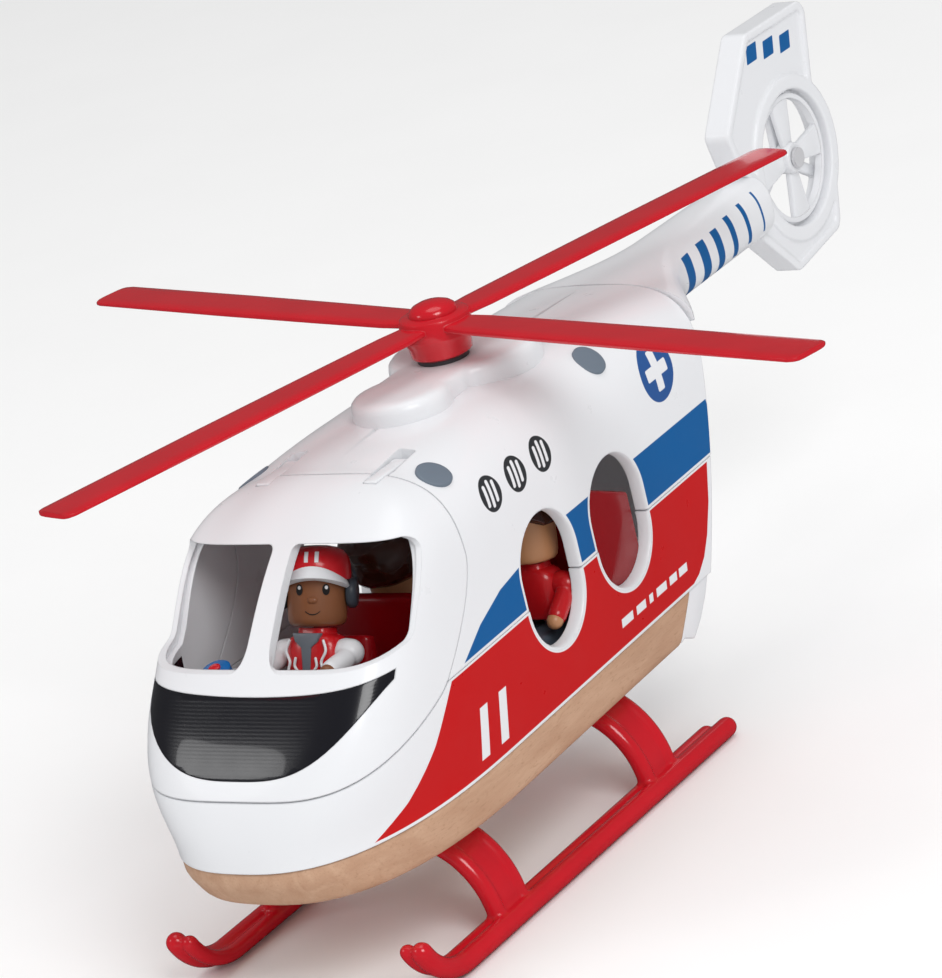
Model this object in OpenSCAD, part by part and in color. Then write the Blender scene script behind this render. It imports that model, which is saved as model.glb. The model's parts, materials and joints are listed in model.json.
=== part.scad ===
// Toy rescue helicopter: wooden belly, moulded cabin shells, red skids and rotor, seated figures.
// Frame: origin on the ground under the middle of the overall box, nose towards -Y, +Z up, millimetres.

/* [Cabin] */
// Half width of the cabin side at the rotor axis
side_half_w = 25.9; // [24:0.1:28]
// Narrowing of the side per millimetre towards the tail
side_taper = 0.037; // [0.02:0.001:0.05]
// Wall thickness of the moulded shells
wall = 2.2; // [1.6:0.1:2.6]
// Height of the seam between lower and upper shell
seam_z = 52; // [50:0.5:54]
// Height of the roof at the canopy edge
roof_front_z = 87.6; // [87:0.1:88]
// Extra height of the roof under the rotor
roof_rise = 1.4; // [1:0.1:1.6]
// Exponent of the rounded shoulder between side and roof
shoulder_power = 3.4; // [2.6:0.1:4]

/* [Windows] */
// Radius of the rounded ends of a side window
window_r = 10.5; // [9:0.1:11]
// Straight length between the two rounded ends
window_straight = 6; // [4:0.5:8]
// Place of the front window along the cabin
window_front_y = -19.4; // [-22:0.1:-18]
// Distance between the two side windows
window_pitch = 28.7; // [27:0.1:30]
// Height of the window centres
window_z = 54.2; // [53:0.1:56]

/* [Wooden base] */
// Underside of the wooden base
wood_bottom = 21.5; // [20:0.5:21.5]
// Top of the wooden base, where the shells start
wood_top = 30.5; // [30:0.1:31]

/* [Skids] */
// Distance from the centre to each outer skid rod
skid_x = 28.1; // [26:0.1:30]
// Radius of the outer skid rod
skid_r = 2; // [1.6:0.1:2.4]
// Rear end of the skids
skid_rear_y = 26; // [20:1:32]
// Start of the front curl of the skids
skid_front_y = -77; // [-80:1:-74]
// Places of the two skid legs along the body
leg_y = [-58, 1];

/* [Main rotor] */
// Radius of the main rotor
rotor_r = 100; // [80:1:110]
// Width of a rotor blade
blade_w = 10; // [8:0.5:12]
// Height of the blade plane
rotor_z = 100.5; // [100:0.5:104]
// Turn of the rotor at rest
rotor_rest_deg = -14.2; // [-45:0.1:45]
// Diameter of the rotor shaft
shaft_d = 4; // [3:0.5:5]

/* [Tail] */
// Distance from the rotor axis to the tail rotor axis
tail_rotor_y = 142.4; // [138:0.1:146]
// Height of the tail rotor axis
tail_rotor_z = 84.3; // [83:0.1:86]
// Outer radius of the tail ring
tail_ring_r = 18.2; // [17:0.1:19]
// Radius of the opening in the tail ring
tail_opening_r = 15; // [14:0.1:15.5]
// Thickness of the tail fin
fin_t = 6; // [5:0.5:7]

/* [Canopy] */
// Place of the canopy hinge pin along the cabin
hinge_y = -39.5; // [-40:0.1:-38]
// Height of the canopy hinge pin
hinge_z = 83.6; // [83:0.1:84]
// Distance of each canopy hinge arm from the centre
hinge_arm_x = 12.4; // [11:0.1:14]

/* [Hidden] */

$fn = 48;
// The parts are laid out from the rotor axis; this moves the middle of the whole length to y = 0
to_centre = [0, -29.558, 0];
// Small gap between pieces that are clipped or screwed together
gap = 0.15;
// Radial clearance of turning pins
play = 0.06;
// Station where the nose starts to round off
nose_y = -44;
// Height where the side starts to round into the roof
shoulder_z = 66;
// Number of nose steps on each side, side stations and height steps of a shell
nose_n = 10;
side_n = 7;
low_n = 7;
high_n = 12;
// Front profile of the nose as two Bezier curves, as [y, z]
low_profile = [[-101.5, wood_top], [-101.3, 39], [-96, 47], [-88, 56]];
high_profile = [[-88, 56], [-75, 70.6], [-62, roof_front_z], [nose_y, roof_front_z]];
// Rear edge of the canopy, and its lower front height
canopy_edge_y = -46.5;
canopy_low_y = -62.5;
canopy_front_z = 42.5;
// Places of the screws that hold the skids and of those that hold the floor
screw_x = 9;
base_screw_x = 14;
base_screw_y = [-70, 16];
// Roof plugs as [y, z]
plug_places = [[-41.1, 84.9], [18.6, 84.6]];
plug_x = 20.7;
plug_r = 3.6;
// Foot plate under the wooden base
foot_t = 3;
// Radius of the bend of a skid leg
leg_bend_r = 17.8;
// Tail boom sections
boom_z = 80.5;
boom_half_h = 7;
boom_end_y = 122;
// Rear hatch
hatch_half_w = 21;
hatch_low_z = 33.5;
hatch_high_z = 77.2;
hatch_pin_z = 76.2;

function bezier(p, t) =
    pow(1 - t, 3) * p[0] + 3 * pow(1 - t, 2) * t * p[1] + 3 * (1 - t) * t * t * p[2] + pow(t, 3) * p[3];
function bezier_slope(p, t) =
    pow(1 - t, 2) * (p[1] - p[0]) + 2 * (1 - t) * t * (p[2] - p[1]) + t * t * (p[3] - p[2]);
function unit2(v) = v / norm(v);
// Inward normal of a profile that runs up and back
function inward(v) = [unit2(v)[1], -unit2(v)[0]];
function ramp(x) = min(1, max(0, x));
function smooth(x) = ramp(x) * ramp(x) * (3 - 2 * ramp(x));
function side_w(y) = side_half_w - side_taper * y;
function roof_z(y) = roof_front_z
    + roof_rise * ramp((y - nose_y) / 24) * (2 - ramp((y - nose_y) / 24))
    - 1.6 * pow(ramp((y - 10) / 45), 2);
function shoulder(z, top, inset) =
    pow(max(0, 1 - pow(ramp((z - shoulder_z) / (top - inset - shoulder_z)), shoulder_power)),
        1 / shoulder_power);
// Squareness of the nose outline at a height
function squareness(z) = 2.6 + 2.9 * smooth((z - wood_top) / 27);
function rear_y(z) = 55 - 16.5 * pow(ramp((87 - z) / 56.5), 2);

// Height steps: points on the front profile, moved inward by the inset
low_steps = [for (i = [0:low_n - 1])
    [bezier(low_profile, i / low_n), inward(bezier_slope(low_profile, i / low_n))]];
high_steps = [for (i = [0:high_n])
    let (t = 1 - pow(1 - i / high_n, 1.35))
    [bezier(high_profile, min(t, 0.985)), inward(bezier_slope(high_profile, min(t, 0.985)))]];
steps = concat(low_steps, high_steps);

// One side of a shell ring, from the nose tip to the rear edge
function ring_half(step, inset, drop) = let (
    p = step[0] + inset * step[1],
    z = p[1],
    b = nose_y - p[0],
    m = squareness(z),
    s = shoulder(z, roof_front_z, inset),
    f = (z - wood_top) / (roof_front_z - inset - wood_top))
    concat(
        [for (i = [0:nose_n]) let (
            a = 90 * i / nose_n,
            y = nose_y - b * pow(cos(a), 2 / m),
            x = (side_w(y) - inset) * s * pow(sin(a), 2 / m))
            [x, y, z - drop]],
        [for (j = [1:side_n]) let (
            y = nose_y + (rear_y(z) - nose_y + (inset > 0 ? 1 : 0)) * j / side_n,
            top = roof_z(y) - inset,
            zz = wood_top + (top - wood_top) * f)
            [(side_w(y) - inset) * shoulder(zz, top + inset, inset), y, zz - drop]]);
function mirror_x(p) = [-p[0], p[1], p[2]];
// A closed ring: right side from the nose back, then left side forward; the nose tip is shared
function ring(step, inset, drop = 0) = let (h = ring_half(step, inset, drop))
    concat(h, [for (i = [len(h) - 1:-1:1]) mirror_x(h[i])]);

// Solid of the whole cabin, or of the space inside it when inset is the wall
module cabin_solid(inset = 0) {
    first = inset > 0 ? [ring(steps[0], inset, 1)] : [];
    rings = concat(first, [for (s = steps) ring(s, inset)]);
    n = len(rings[0]);
    half = nose_n + side_n;
    points = [for (r = rings) each r];
    last = n * (len(rings) - 1);
    sides = [for (k = [0:len(rings) - 2]) for (i = [0:n - 1]) let (
        a = k * n + i,
        b = k * n + (i + 1) % n)
        each [[a, a + n, b], [b, a + n, b + n]]];
    caps = [for (i = [1:half - 1]) let (j = n - i)
        each [[i, i + 1, j], [j, i + 1, j - 1],
            [last + i + 1, last + i, last + j], [last + i + 1, last + j, last + j - 1]]];
    tips = [[0, 1, n - 1], [last + 1, last, last + n - 1]];
    polyhedron(points, concat(sides, caps, tips), convexity = 6);
}

module cabin_shell() {
    difference() {
        cabin_solid();
        cabin_solid(wall);
    }
}

// Side view outline of the canopy, grown by a margin towards the shells
function seam_y(z) = canopy_edge_y + (canopy_low_y - canopy_edge_y) * pow(ramp((71 - z) / (71 - seam_z)), 1.6);
function seam_low_z(y) = seam_z
    - (seam_z - canopy_front_z) * pow(ramp((canopy_low_y - y) / (101.5 + canopy_low_y)), 0.75);
module canopy_side(margin) {
    polygon(concat(
        [[canopy_edge_y + margin, 100]],
        [for (z = [71:-2:seam_z]) [seam_y(z) + margin, z]],
        [[canopy_low_y + margin, seam_z - margin]],
        [for (y = [canopy_low_y - 2:-4:-104]) [y, seam_low_z(y) - margin]],
        [[-110, canopy_front_z - margin], [-110, 100]]));
}
// Extrudes a side view drawn as [y, z] across the cabin
module across(width) {
    rotate([90, 0, 90])
        translate([0, 0, -width / 2])
        linear_extrude(width)
        children();
}
module canopy_space(margin = 0) {
    across(80)
        canopy_side(margin);
}

// Space over the hinge pin that the rear edge of the canopy passes through as it opens
canopy_edge_r = 7.1;
module canopy_sweep() {
    difference() {
        translate([-30, hinge_y - 9, hinge_z])
            cube([60, 9, 12]);
        translate([0, hinge_y, hinge_z])
            rotate([0, 90, 0])
            cylinder(h = 80, r = canopy_edge_r, center = true, $fn = 96);
    }
}

// Upright rounded window through both sides of the cabin
module window_hole(y) {
    translate([0, y, window_z])
        rotate([0, 90, 0])
        linear_extrude(80, center = true)
        union() {
            translate([window_straight / 2, 0])
                circle(r = window_r);
            translate([-window_straight / 2, 0])
                circle(r = window_r);
            square([window_straight, 2 * window_r], center = true);
        }
}

module wood_outline(inset) {
    h = ring_half(steps[0], inset, 0);
    outline = [for (p = h) [p[0], p[1]]];
    polygon(concat(outline, [for (i = [len(h) - 1:-1:1]) [-outline[i][0], outline[i][1]]]));
}
wood_slope = atan2(8, wood_top - wood_bottom);
module behind_wood(margin) {
    translate([0, 29.5 + margin, wood_top])
        rotate([-wood_slope, 0, 0])
        translate([-50, 0, -30])
        cube([100, 60, 60]);
}

// Heights at which the front of the base falls back like a bow, and the scale of its length at each
bow_z = [28, 24.4, 22, wood_bottom];
bow_scale = [1, 0.985, 0.972, 0.962];
// Point on the rear that stays in place while a layer gets shorter
bow_pivot_y = 40;
// A layer under height z whose length shrinks from a first to a second scale
module wood_layer(z, h, from, to) {
    translate([0, bow_pivot_y, z + 0.02])
        mirror([0, 0, 1])
        linear_extrude(h + 0.02, scale = [1 - (from - to) / 3, to / from], slices = 1)
        scale([1 - (1 - from) / 3, from])
        translate([0, -bow_pivot_y])
        wood_outline(0.3);
}

module wood_base() {
    color("burlywood")
        translate(to_centre)
        difference() {
            union() {
                translate([0, 0, bow_z[0]])
                    linear_extrude(wood_top - bow_z[0])
                    wood_outline(0.3);
                for (k = [0:2])
                    wood_layer(bow_z[k], bow_z[k] - bow_z[k + 1], bow_scale[k], bow_scale[k + 1]);
            }
            behind_wood(0);
            for (x = [-screw_x, screw_x], y = leg_y)
                translate([x, y, wood_bottom - 1])
                    cylinder(h = 6.5, d = 2.6);
            for (x = [-base_screw_x, base_screw_x], y = base_screw_y)
                translate([x, y, wood_bottom - 1]) {
                    cylinder(h = 14, d = 2.8);
                    cylinder(h = 3.4, d = 5.8);
                }
        }
}

module lower_shell() {
    color("whitesmoke")
        translate(to_centre)
        difference() {
            union() {
                difference() {
                    intersection() {
                        cabin_shell();
                        translate([-50, -120, wood_top + gap])
                            cube([100, 200, seam_z - wood_top - gap - gap / 2]);
                    }
                    canopy_space(gap);
                }
                tail_chin();
            }
            window_hole(window_front_y);
            window_hole(window_front_y + window_pitch);
            hatch_opening();
        }
}

// Closed rear end of the lower shell, below and behind the wooden base
module tail_chin() {
    across(2 * side_w(30) - 1.2)
        polygon([[29.9, wood_top + gap], [22.1, wood_bottom], [24.6, wood_bottom + 0.6],
            [28, wood_bottom - 0.9], [32, 23.4], [35.4, 27], [38.3, wood_top + gap + 0.5],
            [39, 33], [30, 33]]);
}

module upper_shell() {
    color("whitesmoke")
        translate(to_centre)
        difference() {
            intersection() {
                cabin_shell();
                translate([-50, -120, seam_z + gap / 2])
                    cube([100, 200, 60]);
            }
            canopy_space(gap);
            window_hole(window_front_y);
            window_hole(window_front_y + window_pitch);
            hatch_opening();
            for (x = [-hinge_arm_x, hinge_arm_x])
                translate([x - 1.9, canopy_edge_y - 2, 78])
                    cube([3.8, 12.8, 20]);
            canopy_sweep();
            // Seat of the canopy hinge under the roof
            translate([-bearing_x - 2, hinge_y - bearing_r - gap, 78])
                cube([2 * bearing_x + 4, 6.3 + bearing_r, hinge_z + bearing_r + gap - 78]);
            translate([0, 0, 87.9])
                linear_extrude(10)
                cowling_outline(gap);
            translate([0, 0, 80])
                cylinder(h = 12, r = bushing_r + play);
            plugs(play);
        }
}

module hatch_opening() {
    translate([-hatch_half_w - gap, 34, hatch_low_z - gap])
        cube([2 * (hatch_half_w + gap), 30, hatch_high_z + 1.6 - hatch_low_z]);
}

module plugs(grow) {
    for (side = [-1, 1], p = plug_places)
        translate([side * plug_x, p[0], p[1]])
            rotate([0, side * 38, 0])
            translate([0, 0, -1.9])
            cylinder(h = 2.1 + 4 * grow, r = plug_r + grow);
}
module roof_screw_plugs() {
    color("slategray")
        translate(to_centre)
        plugs(0);
}

// Waisted outline of the fairing under the rotor
module cowling_outline(grow) {
    offset(r = grow)
        offset(r = -7)
        offset(delta = 7) {
            translate([0, -17])
                circle(r = 9.8);
            translate([0, 7])
                circle(r = 15.2);
        }
}
bushing_r = 3.6;
module roof_cowling() {
    color("whitesmoke")
        translate(to_centre)
        difference() {
            union() {
                translate([0, 0, 87.9])
                    linear_extrude(4.5)
                    cowling_outline(0);
                translate([0, 0, 92.3])
                    linear_extrude(0.7)
                    cowling_outline(-0.6);
            }
            translate([0, 0, 80])
                cylinder(h = 20, r = bushing_r + play);
        }
}

// Two cockpit openings with a pillar between them
module windshield_holes(grow = 0) {
    for (side = [-1, 1])
        scale([side, 1, 1])
            intersection() {
                across(80)
                    offset(delta = grow)
                    polygon([[-57.9, 78.2], [-59.5, 80.2], [-66, 80.6], [-110, 80.6], [-110, 62.3],
                        [-82.5, 62.3], [-69.4, 63.9], [-68.2, 65]]);
                translate([0, 0, 40])
                    linear_extrude(60)
                    polygon([[2.1, -64], [2.6, -80], [5.6, -84.5], [5.6, -120], [45, -120], [45, -40],
                        [2.1, -40]]);
            }
}
// Crescent of the visor seen from the front, as [x, z]
function visor_low(x) = 46.6 + 12.4 * pow(abs(x) / 27, 3);
function visor_high(x) = 58.9 + 1.6 * pow(x / 27, 2);
visor_n = 14;
module visor_space() {
    translate([0, -70, 0])
        rotate([90, 0, 0])
        linear_extrude(50)
        polygon(concat(
            [for (i = [-visor_n:visor_n]) let (x = 27 * i / visor_n) [x, visor_low(x)]],
            [for (i = [visor_n:-1:-visor_n]) let (x = 27 * i / visor_n) [x, visor_high(x)]]));
}
// Wall thickness and width of the thin rim round the cockpit openings
frame_t = 1.1;
frame_w = 1.5;
module canopy() {
    color("whitesmoke")
        translate(to_centre)
        difference() {
            intersection() {
                cabin_shell();
                canopy_space(-gap);
            }
            windshield_holes();
            intersection() {
                windshield_holes(frame_w);
                cabin_solid(frame_t);
            }
            difference() {
                visor_space();
                cabin_solid(1);
            }
            for (x = [-hinge_arm_x, hinge_arm_x])
                translate([x - 1.6, -50 - gap, 78])
                    cube([3.2, 6, 20]);
        }
}
module visor() {
    color("black")
        translate(to_centre)
        intersection() {
            difference() {
                cabin_solid();
                cabin_solid(0.9);
            }
            visor_space();
        }
}

// Hinge arms of the canopy: a disc round the pin and a bar forward
arm_r = 3.6;
module canopy_hinge_arms() {
    color("whitesmoke")
        translate(to_centre)
        for (x = [-hinge_arm_x, hinge_arm_x])
            translate([x, hinge_y, hinge_z])
                difference() {
                    union() {
                        rotate([0, 90, 0])
                            cylinder(h = 3, r = arm_r, center = true);
                        translate([-1.5, -10.5, 0.4])
                            cube([3, 10.5, arm_r - 0.4]);
                    }
                    rotate([0, 90, 0])
                        cylinder(h = 5, r = 1 + play, center = true);
                }
}
// Three bearing blocks behind the canopy edge on one bar, stuck under the roof by the middle pad
bearing_x = 15.8;
bearing_w = 2.2;
bearing_r = 1.5;
module canopy_hinge_bracket() {
    color("whitesmoke")
        translate(to_centre)
        translate([0, hinge_y, hinge_z])
        difference() {
            union() {
                for (x = [-bearing_x, 0, bearing_x], w = x == 0 ? 16 : bearing_w) {
                    translate([x, 0, 0])
                        rotate([0, 90, 0])
                        cylinder(h = w, r = bearing_r, center = true);
                    translate([x - w / 2, 0, -1])
                        cube([w, 5.5, 1.6]);
                }
                translate([-bearing_x - bearing_w / 2, 4.4, -1])
                    cube([2 * bearing_x + bearing_w, 1.6, 1.6]);
                translate([-8, 3, 0])
                    cube([16, 3, 2.7]);
            }
            rotate([0, 90, 0])
                cylinder(h = 40, r = 1, center = true);
        }
}
module canopy_hinge_pin() {
    color("silver")
        translate(to_centre)
        translate([0, hinge_y, hinge_z])
        rotate([0, 90, 0])
        cylinder(h = 2 * bearing_x + bearing_w, r = 1, center = true);
}

// Tail boom: sections that change from the wide top of the cabin to a slim oval
boom_n = 12;
boom_start_y = 55.4;
function boom_blend(y) = smooth((y - boom_start_y) / 25);
function boom_half_w(y) = 7.6 - 0.03 * (y - 85) + 17 * pow(1 - smooth((y - 48) / 38), 1.35);
function boom_mid_z(y) = 79 + (boom_z - 79) * boom_blend(y);
function boom_low_h(y) = 0.8 + (boom_half_h - 0.8) * boom_blend(y);
function boom_section(y, grow) = let (
    w = boom_half_w(y) + grow,
    mid = boom_mid_z(y),
    up = boom_z + boom_half_h - mid + grow,
    low = boom_low_h(y) + grow)
    [for (i = [0:31]) let (a = 360 * i / 32)
        [w * sign(cos(a)) * pow(abs(cos(a)), 2 / 2.5), y,
            mid + (sin(a) > 0 ? up : low) * sign(sin(a)) * pow(abs(sin(a)), 2 / 2.5)]];
module boom_solid(grow) {
    sections = [for (k = [0:boom_n])
        boom_section(boom_start_y + (boom_end_y - boom_start_y) * k / boom_n, grow)];
    points = [for (s = sections) each s];
    last = 32 * boom_n;
    sides = [for (k = [0:boom_n - 1]) for (i = [0:31]) let (
        a = k * 32 + i,
        b = k * 32 + (i + 1) % 32)
        each [[a, b, a + 32], [b, b + 32, a + 32]]];
    polyhedron(points, concat(sides, [[for (i = [31:-1:0]) i]], [[for (i = [0:31]) last + i]]),
        convexity = 4);
}
module tail_boom() {
    color("whitesmoke")
        translate(to_centre)
        difference() {
            union() {
                boom_solid(0);
                translate([-15, boom_start_y - 7, 79.5])
                    cube([30, 9, 3.7]);
            }
            translate([0, tail_rotor_y, tail_rotor_z])
                rotate([0, 90, 0])
                cylinder(h = 40, r = tail_ring_r + gap, center = true, $fn = 64);
        }
}

module fin_outline() {
    translate([tail_rotor_y, tail_rotor_z])
        circle(r = tail_ring_r);
    offset(r = 2)
        offset(r = -2)
        polygon([[118, 90], [115.5, 98], [131.4, 115.9], [156.5, 115.7], [158.4, 113], [155, 97],
            [160, 86], [155, 66], [153.6, 64], [133.5, 61.2], [121, 73], [124, 84]]);
}
module tail_fin() {
    color("whitesmoke")
        translate(to_centre)
        difference() {
            union() {
                difference() {
                    across(fin_t)
                        fin_outline();
                    translate([0, tail_rotor_y, tail_rotor_z])
                        rotate([0, 90, 0])
                        cylinder(h = 20, r = tail_opening_r, center = true, $fn = 64);
                    translate([0, 0, -0.03])
                        boom_solid(0.25);
                }
                // Three arms that carry the tail rotor pin on the left side
                for (a = [90, 210, 330])
                    translate([-fin_t / 2 + 0.7, tail_rotor_y, tail_rotor_z])
                        rotate([a, 0, 0])
                        translate([-0.7, 0, -1.2])
                        cube([1.4, tail_opening_r + 1, 2.4]);
                translate([-fin_t / 2, tail_rotor_y, tail_rotor_z])
                    rotate([0, 90, 0])
                    cylinder(h = 1.6, r = 3);
            }
            translate([-fin_t / 2 - 1, tail_rotor_y, tail_rotor_z])
                rotate([0, 90, 0])
                cylinder(h = 4, r = 1);
        }
}
module tail_rotor() {
    color("whitesmoke")
        translate(to_centre)
        translate([-1.1, tail_rotor_y, tail_rotor_z])
        rotate([0, 90, 0])
        difference() {
            union() {
                cylinder(h = 3.4, r = 3.4);
                translate([0, 0, 0.8])
                    difference() {
                        cylinder(h = 1.8, r = tail_opening_r - 0.8, $fn = 64);
                        for (a = [45:90:360])
                            rotate([0, 0, a])
                            translate([0, 0, -1])
                            linear_extrude(4)
                            polygon([[3.6, 0], [11, -5], [16, -5.6], [17, 0], [16, 5.6], [11, 5]]);
                    }
            }
            translate([0, 0, -1])
                cylinder(h = 8, r = 1 + play);
        }
}
module tail_rotor_pin() {
    color("silver")
        translate(to_centre)
        translate([-fin_t / 2, tail_rotor_y, tail_rotor_z])
        rotate([0, 90, 0]) {
            cylinder(h = 6, r = 1);
            translate([0, 0, 5.5])
                cylinder(h = 0.8, r = 2.2);
        }
}

// Rear hatch: a curved plate that follows the rear edge of the cabin
hatch_n = 10;
module hatch_plate(outer, inner) {
    polygon(concat(
        [for (i = [0:hatch_n]) let (z = hatch_low_z + (hatch_high_z - hatch_low_z) * i / hatch_n)
            [rear_y(z) + outer, z]],
        [for (i = [hatch_n:-1:0]) let (z = hatch_low_z + (hatch_high_z - hatch_low_z) * i / hatch_n)
            [rear_y(z) + inner, z]]));
}
hatch_pin_y = 52.6;
module rear_hatch() {
    color("whitesmoke")
        translate(to_centre)
        difference() {
            union() {
                across(2 * hatch_half_w)
                    hatch_plate(0, -2);
                for (x = [-12, 12])
                    translate([x, hatch_pin_y, hatch_pin_z]) {
                        rotate([0, 90, 0])
                            cylinder(h = 5, r = 1.9, center = true);
                        translate([-2.5, -1.9, -4.5])
                            cube([5, 2.6, 4.5]);
                    }
            }
            translate([0, hatch_pin_y, hatch_pin_z])
                rotate([0, 90, 0])
                cylinder(h = 60, r = 0.9 + play, center = true);
        }
}
module hatch_hinge_pin() {
    color("silver")
        translate(to_centre)
        translate([0, hatch_pin_y, hatch_pin_z])
        rotate([0, 90, 0])
        cylinder(h = 43, r = 0.9, center = true);
}

// Bend of the front curl
curl_r = 15;
curl_deg = 62;
tip_h = 0.8;
// The rods have a narrow flat underneath
flat_cut = 0.12;
rod_z = skid_r - flat_cut;
// Round section of a rod whose lowest point is cut flat on the ground plane
module rod_section(r) {
    difference() {
        circle(r = r);
        translate([-r, -rod_z - 1])
            square([2 * r, 1]);
    }
}
// One rod of a skid with its front curl
module skid_rod(x, r, rear, front) {
    translate([x, rear, rod_z])
        rotate([90, 0, 0])
        linear_extrude(rear - front)
        rod_section(r);
    translate([x, rear, rod_z])
        rotate([-90, 0, 0])
        cylinder(h = tip_h, r1 = r - 0.2, r2 = r - tip_h);
    translate([x, front, rod_z + curl_r])
        rotate([0, 90, 0])
        rotate_extrude(angle = -curl_deg)
        translate([curl_r, 0])
        circle(r = r - 0.02, $fn = 24);
    translate([x, front - curl_r * sin(curl_deg), rod_z + curl_r * (1 - cos(curl_deg))])
        rotate([90 - curl_deg, 0, 0])
        cylinder(h = tip_h, r1 = r - 0.1, r2 = r - tip_h);
}
module skid_leg(y) {
    // Quarter bend from the skid up and in to the foot plate
    translate([skid_x - 2 - leg_bend_r, y, rod_z - 0.33])
        rotate([90, 0, 0])
        rotate_extrude(angle = 90, $fn = 64) {
            translate([leg_bend_r - 1.1, -4.4])
                square([2.2, 8.8]);
            for (s = [-1, 1])
                translate([leg_bend_r, s * 4.2])
                    circle(r = 1.8, $fn = 24);
        }
}
module skid_frame() {
    color("crimson")
        translate(to_centre)
        difference() {
            union() {
                for (side = [0, 1])
                    mirror([side, 0, 0]) {
                        skid_rod(skid_x, skid_r, skid_rear_y, skid_front_y);
                        skid_rod(skid_x - 3.1, skid_r - 0.35, skid_rear_y - 3, skid_front_y);
                        for (y = leg_y)
                            skid_leg(y);
                    }
                for (y = leg_y)
                    translate([-13, y - 5, wood_bottom - foot_t - 0.05])
                        cube([26, 10, foot_t]);
            }
            for (x = [-screw_x, screw_x], y = leg_y)
                translate([x, y, wood_bottom - 8]) {
                    cylinder(h = 10, d = 2.8);
                    cylinder(h = 6.4, d = 5.6);
                }
        }
}
module screw(length, d, head_d, head_h) {
    cylinder(h = length, d = d);
    difference() {
        translate([0, 0, -head_h])
            cylinder(h = head_h, d = head_d);
        for (a = [0, 90])
            rotate([0, 0, a])
            translate([-head_d / 3, -0.35, -head_h - 0.1])
            cube([head_d / 1.5, 0.7, 0.9]);
    }
}
module skid_screws() {
    color("silver")
        translate(to_centre)
        for (x = [-screw_x, screw_x], y = leg_y)
            translate([x, y, wood_bottom - 1.6])
                screw(6.5, 2.6, 5.2, 1.4);
}
module base_screws() {
    color("silver")
        translate(to_centre)
        for (x = [-base_screw_x, base_screw_x], y = base_screw_y)
            translate([x, y, wood_bottom + 2.4])
                screw(12, 2.5, 5.2, 1.5);
}

module rotor_bushing() {
    color("dimgray")
        translate(to_centre)
        difference() {
            union() {
                translate([0, 0, 84])
                    cylinder(h = 10, r = bushing_r);
                translate([0, 0, 93.05])
                    cylinder(h = 1.2, r = bushing_r + 1.6);
            }
            translate([0, 0, 80])
                cylinder(h = 20, d = shaft_d + 2 * play);
        }
}
module rotor_shaft() {
    color("silver")
        translate(to_centre)
        translate([0, 0, 80.5])
        cylinder(h = 21, d = shaft_d);
}
module rotor_retaining_ring() {
    color("silver")
        translate(to_centre)
        translate([0, 0, 82.2])
        difference() {
            cylinder(h = 1.6, r = 4);
            translate([0, 0, -1])
                cylinder(h = 4, d = shaft_d);
        }
}
module main_rotor() {
    color("crimson")
        translate(to_centre)
        difference() {
            union() {
                translate([0, 0, rotor_z - 3])
                    cylinder(h = 5, r = 7.2);
                rotate([0, 0, rotor_rest_deg])
                    for (a = [0:90:270])
                        rotate([0, 0, a])
                        translate([4, -blade_w / 2, rotor_z - 0.8])
                        cube([rotor_r - 4, blade_w, 1.6]);
            }
            translate([0, 0, rotor_z - 5])
                cylinder(h = 6, d = shaft_d);
        }
}
module rotor_cap() {
    color("crimson")
        translate(to_centre)
        translate([0, 0, rotor_z + 2.05])
        intersection() {
            translate([0, 0, -4])
                sphere(r = 6.4);
            cylinder(h = 6, r = 6.4);
        }
}

// Red liner that lies on the wooden base, with the posts that take the screws from below
post_h = 7;
module cabin_floor() {
    color("firebrick")
        translate(to_centre)
        difference() {
            union() {
                translate([0, 0, wood_top + gap])
                    linear_extrude(1.8)
                    intersection() {
                        wood_outline(wall + 0.5);
                        translate([-40, -120])
                            square([80, 149.6]);
                    }
                for (x = [-base_screw_x, base_screw_x], y = base_screw_y)
                    translate([x, y, wood_top + gap])
                        cylinder(h = post_h, d = 6);
            }
            for (x = [-base_screw_x, base_screw_x], y = base_screw_y)
                translate([x, y, wood_top - 1])
                    cylinder(h = post_h, d = 2.5);
        }
}
floor_z = wood_top + gap + 1.8;

// A point of the seat back, leaning back by the recline angle
function lean(y, z, recline) = [y * cos(recline) + z * sin(recline), z * cos(recline) - y * sin(recline)];
// A seat for the hip place: pan on a pedestal, and a leaning back that widens down to the floor.
// The rear points lie between the top of the back and its foot.
module seat(hip, recline, turn, width, back_w, back_h, back_y, foot, rear = []) {
    low = floor_z + 0.15 - hip[2];
    translate([hip[0], hip[1], hip[2] - 0.1])
        rotate([0, 0, turn])
        translate([0, 0.6, 0]) {
            across(width)
                polygon([[-11, 0], [1.5, 0], [1.5, low], [-10, low], [-10, -3], [-11, -3]]);
            across(back_w)
                polygon(concat([[0.8, low], [0.8, -2], lean(back_y, 0, recline), lean(back_y, back_h, recline),
                    lean(back_y + 2.8, back_h, recline)], rear, [[foot, low]]));
        }
}

// Hip places and recline of the three seated figures
pilot_hip = [0.9, -63.5, 45.8];
pilot_recline = 22;
medic_hip = [2.2, -36.1, 40.6];
medic_recline = 9;
medic_turn = 180;
passenger_hip = [14, -5.4, 35.9];
passenger_recline = 9;
torso_h = 16.5;
shoulder_h = 13.6;

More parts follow.
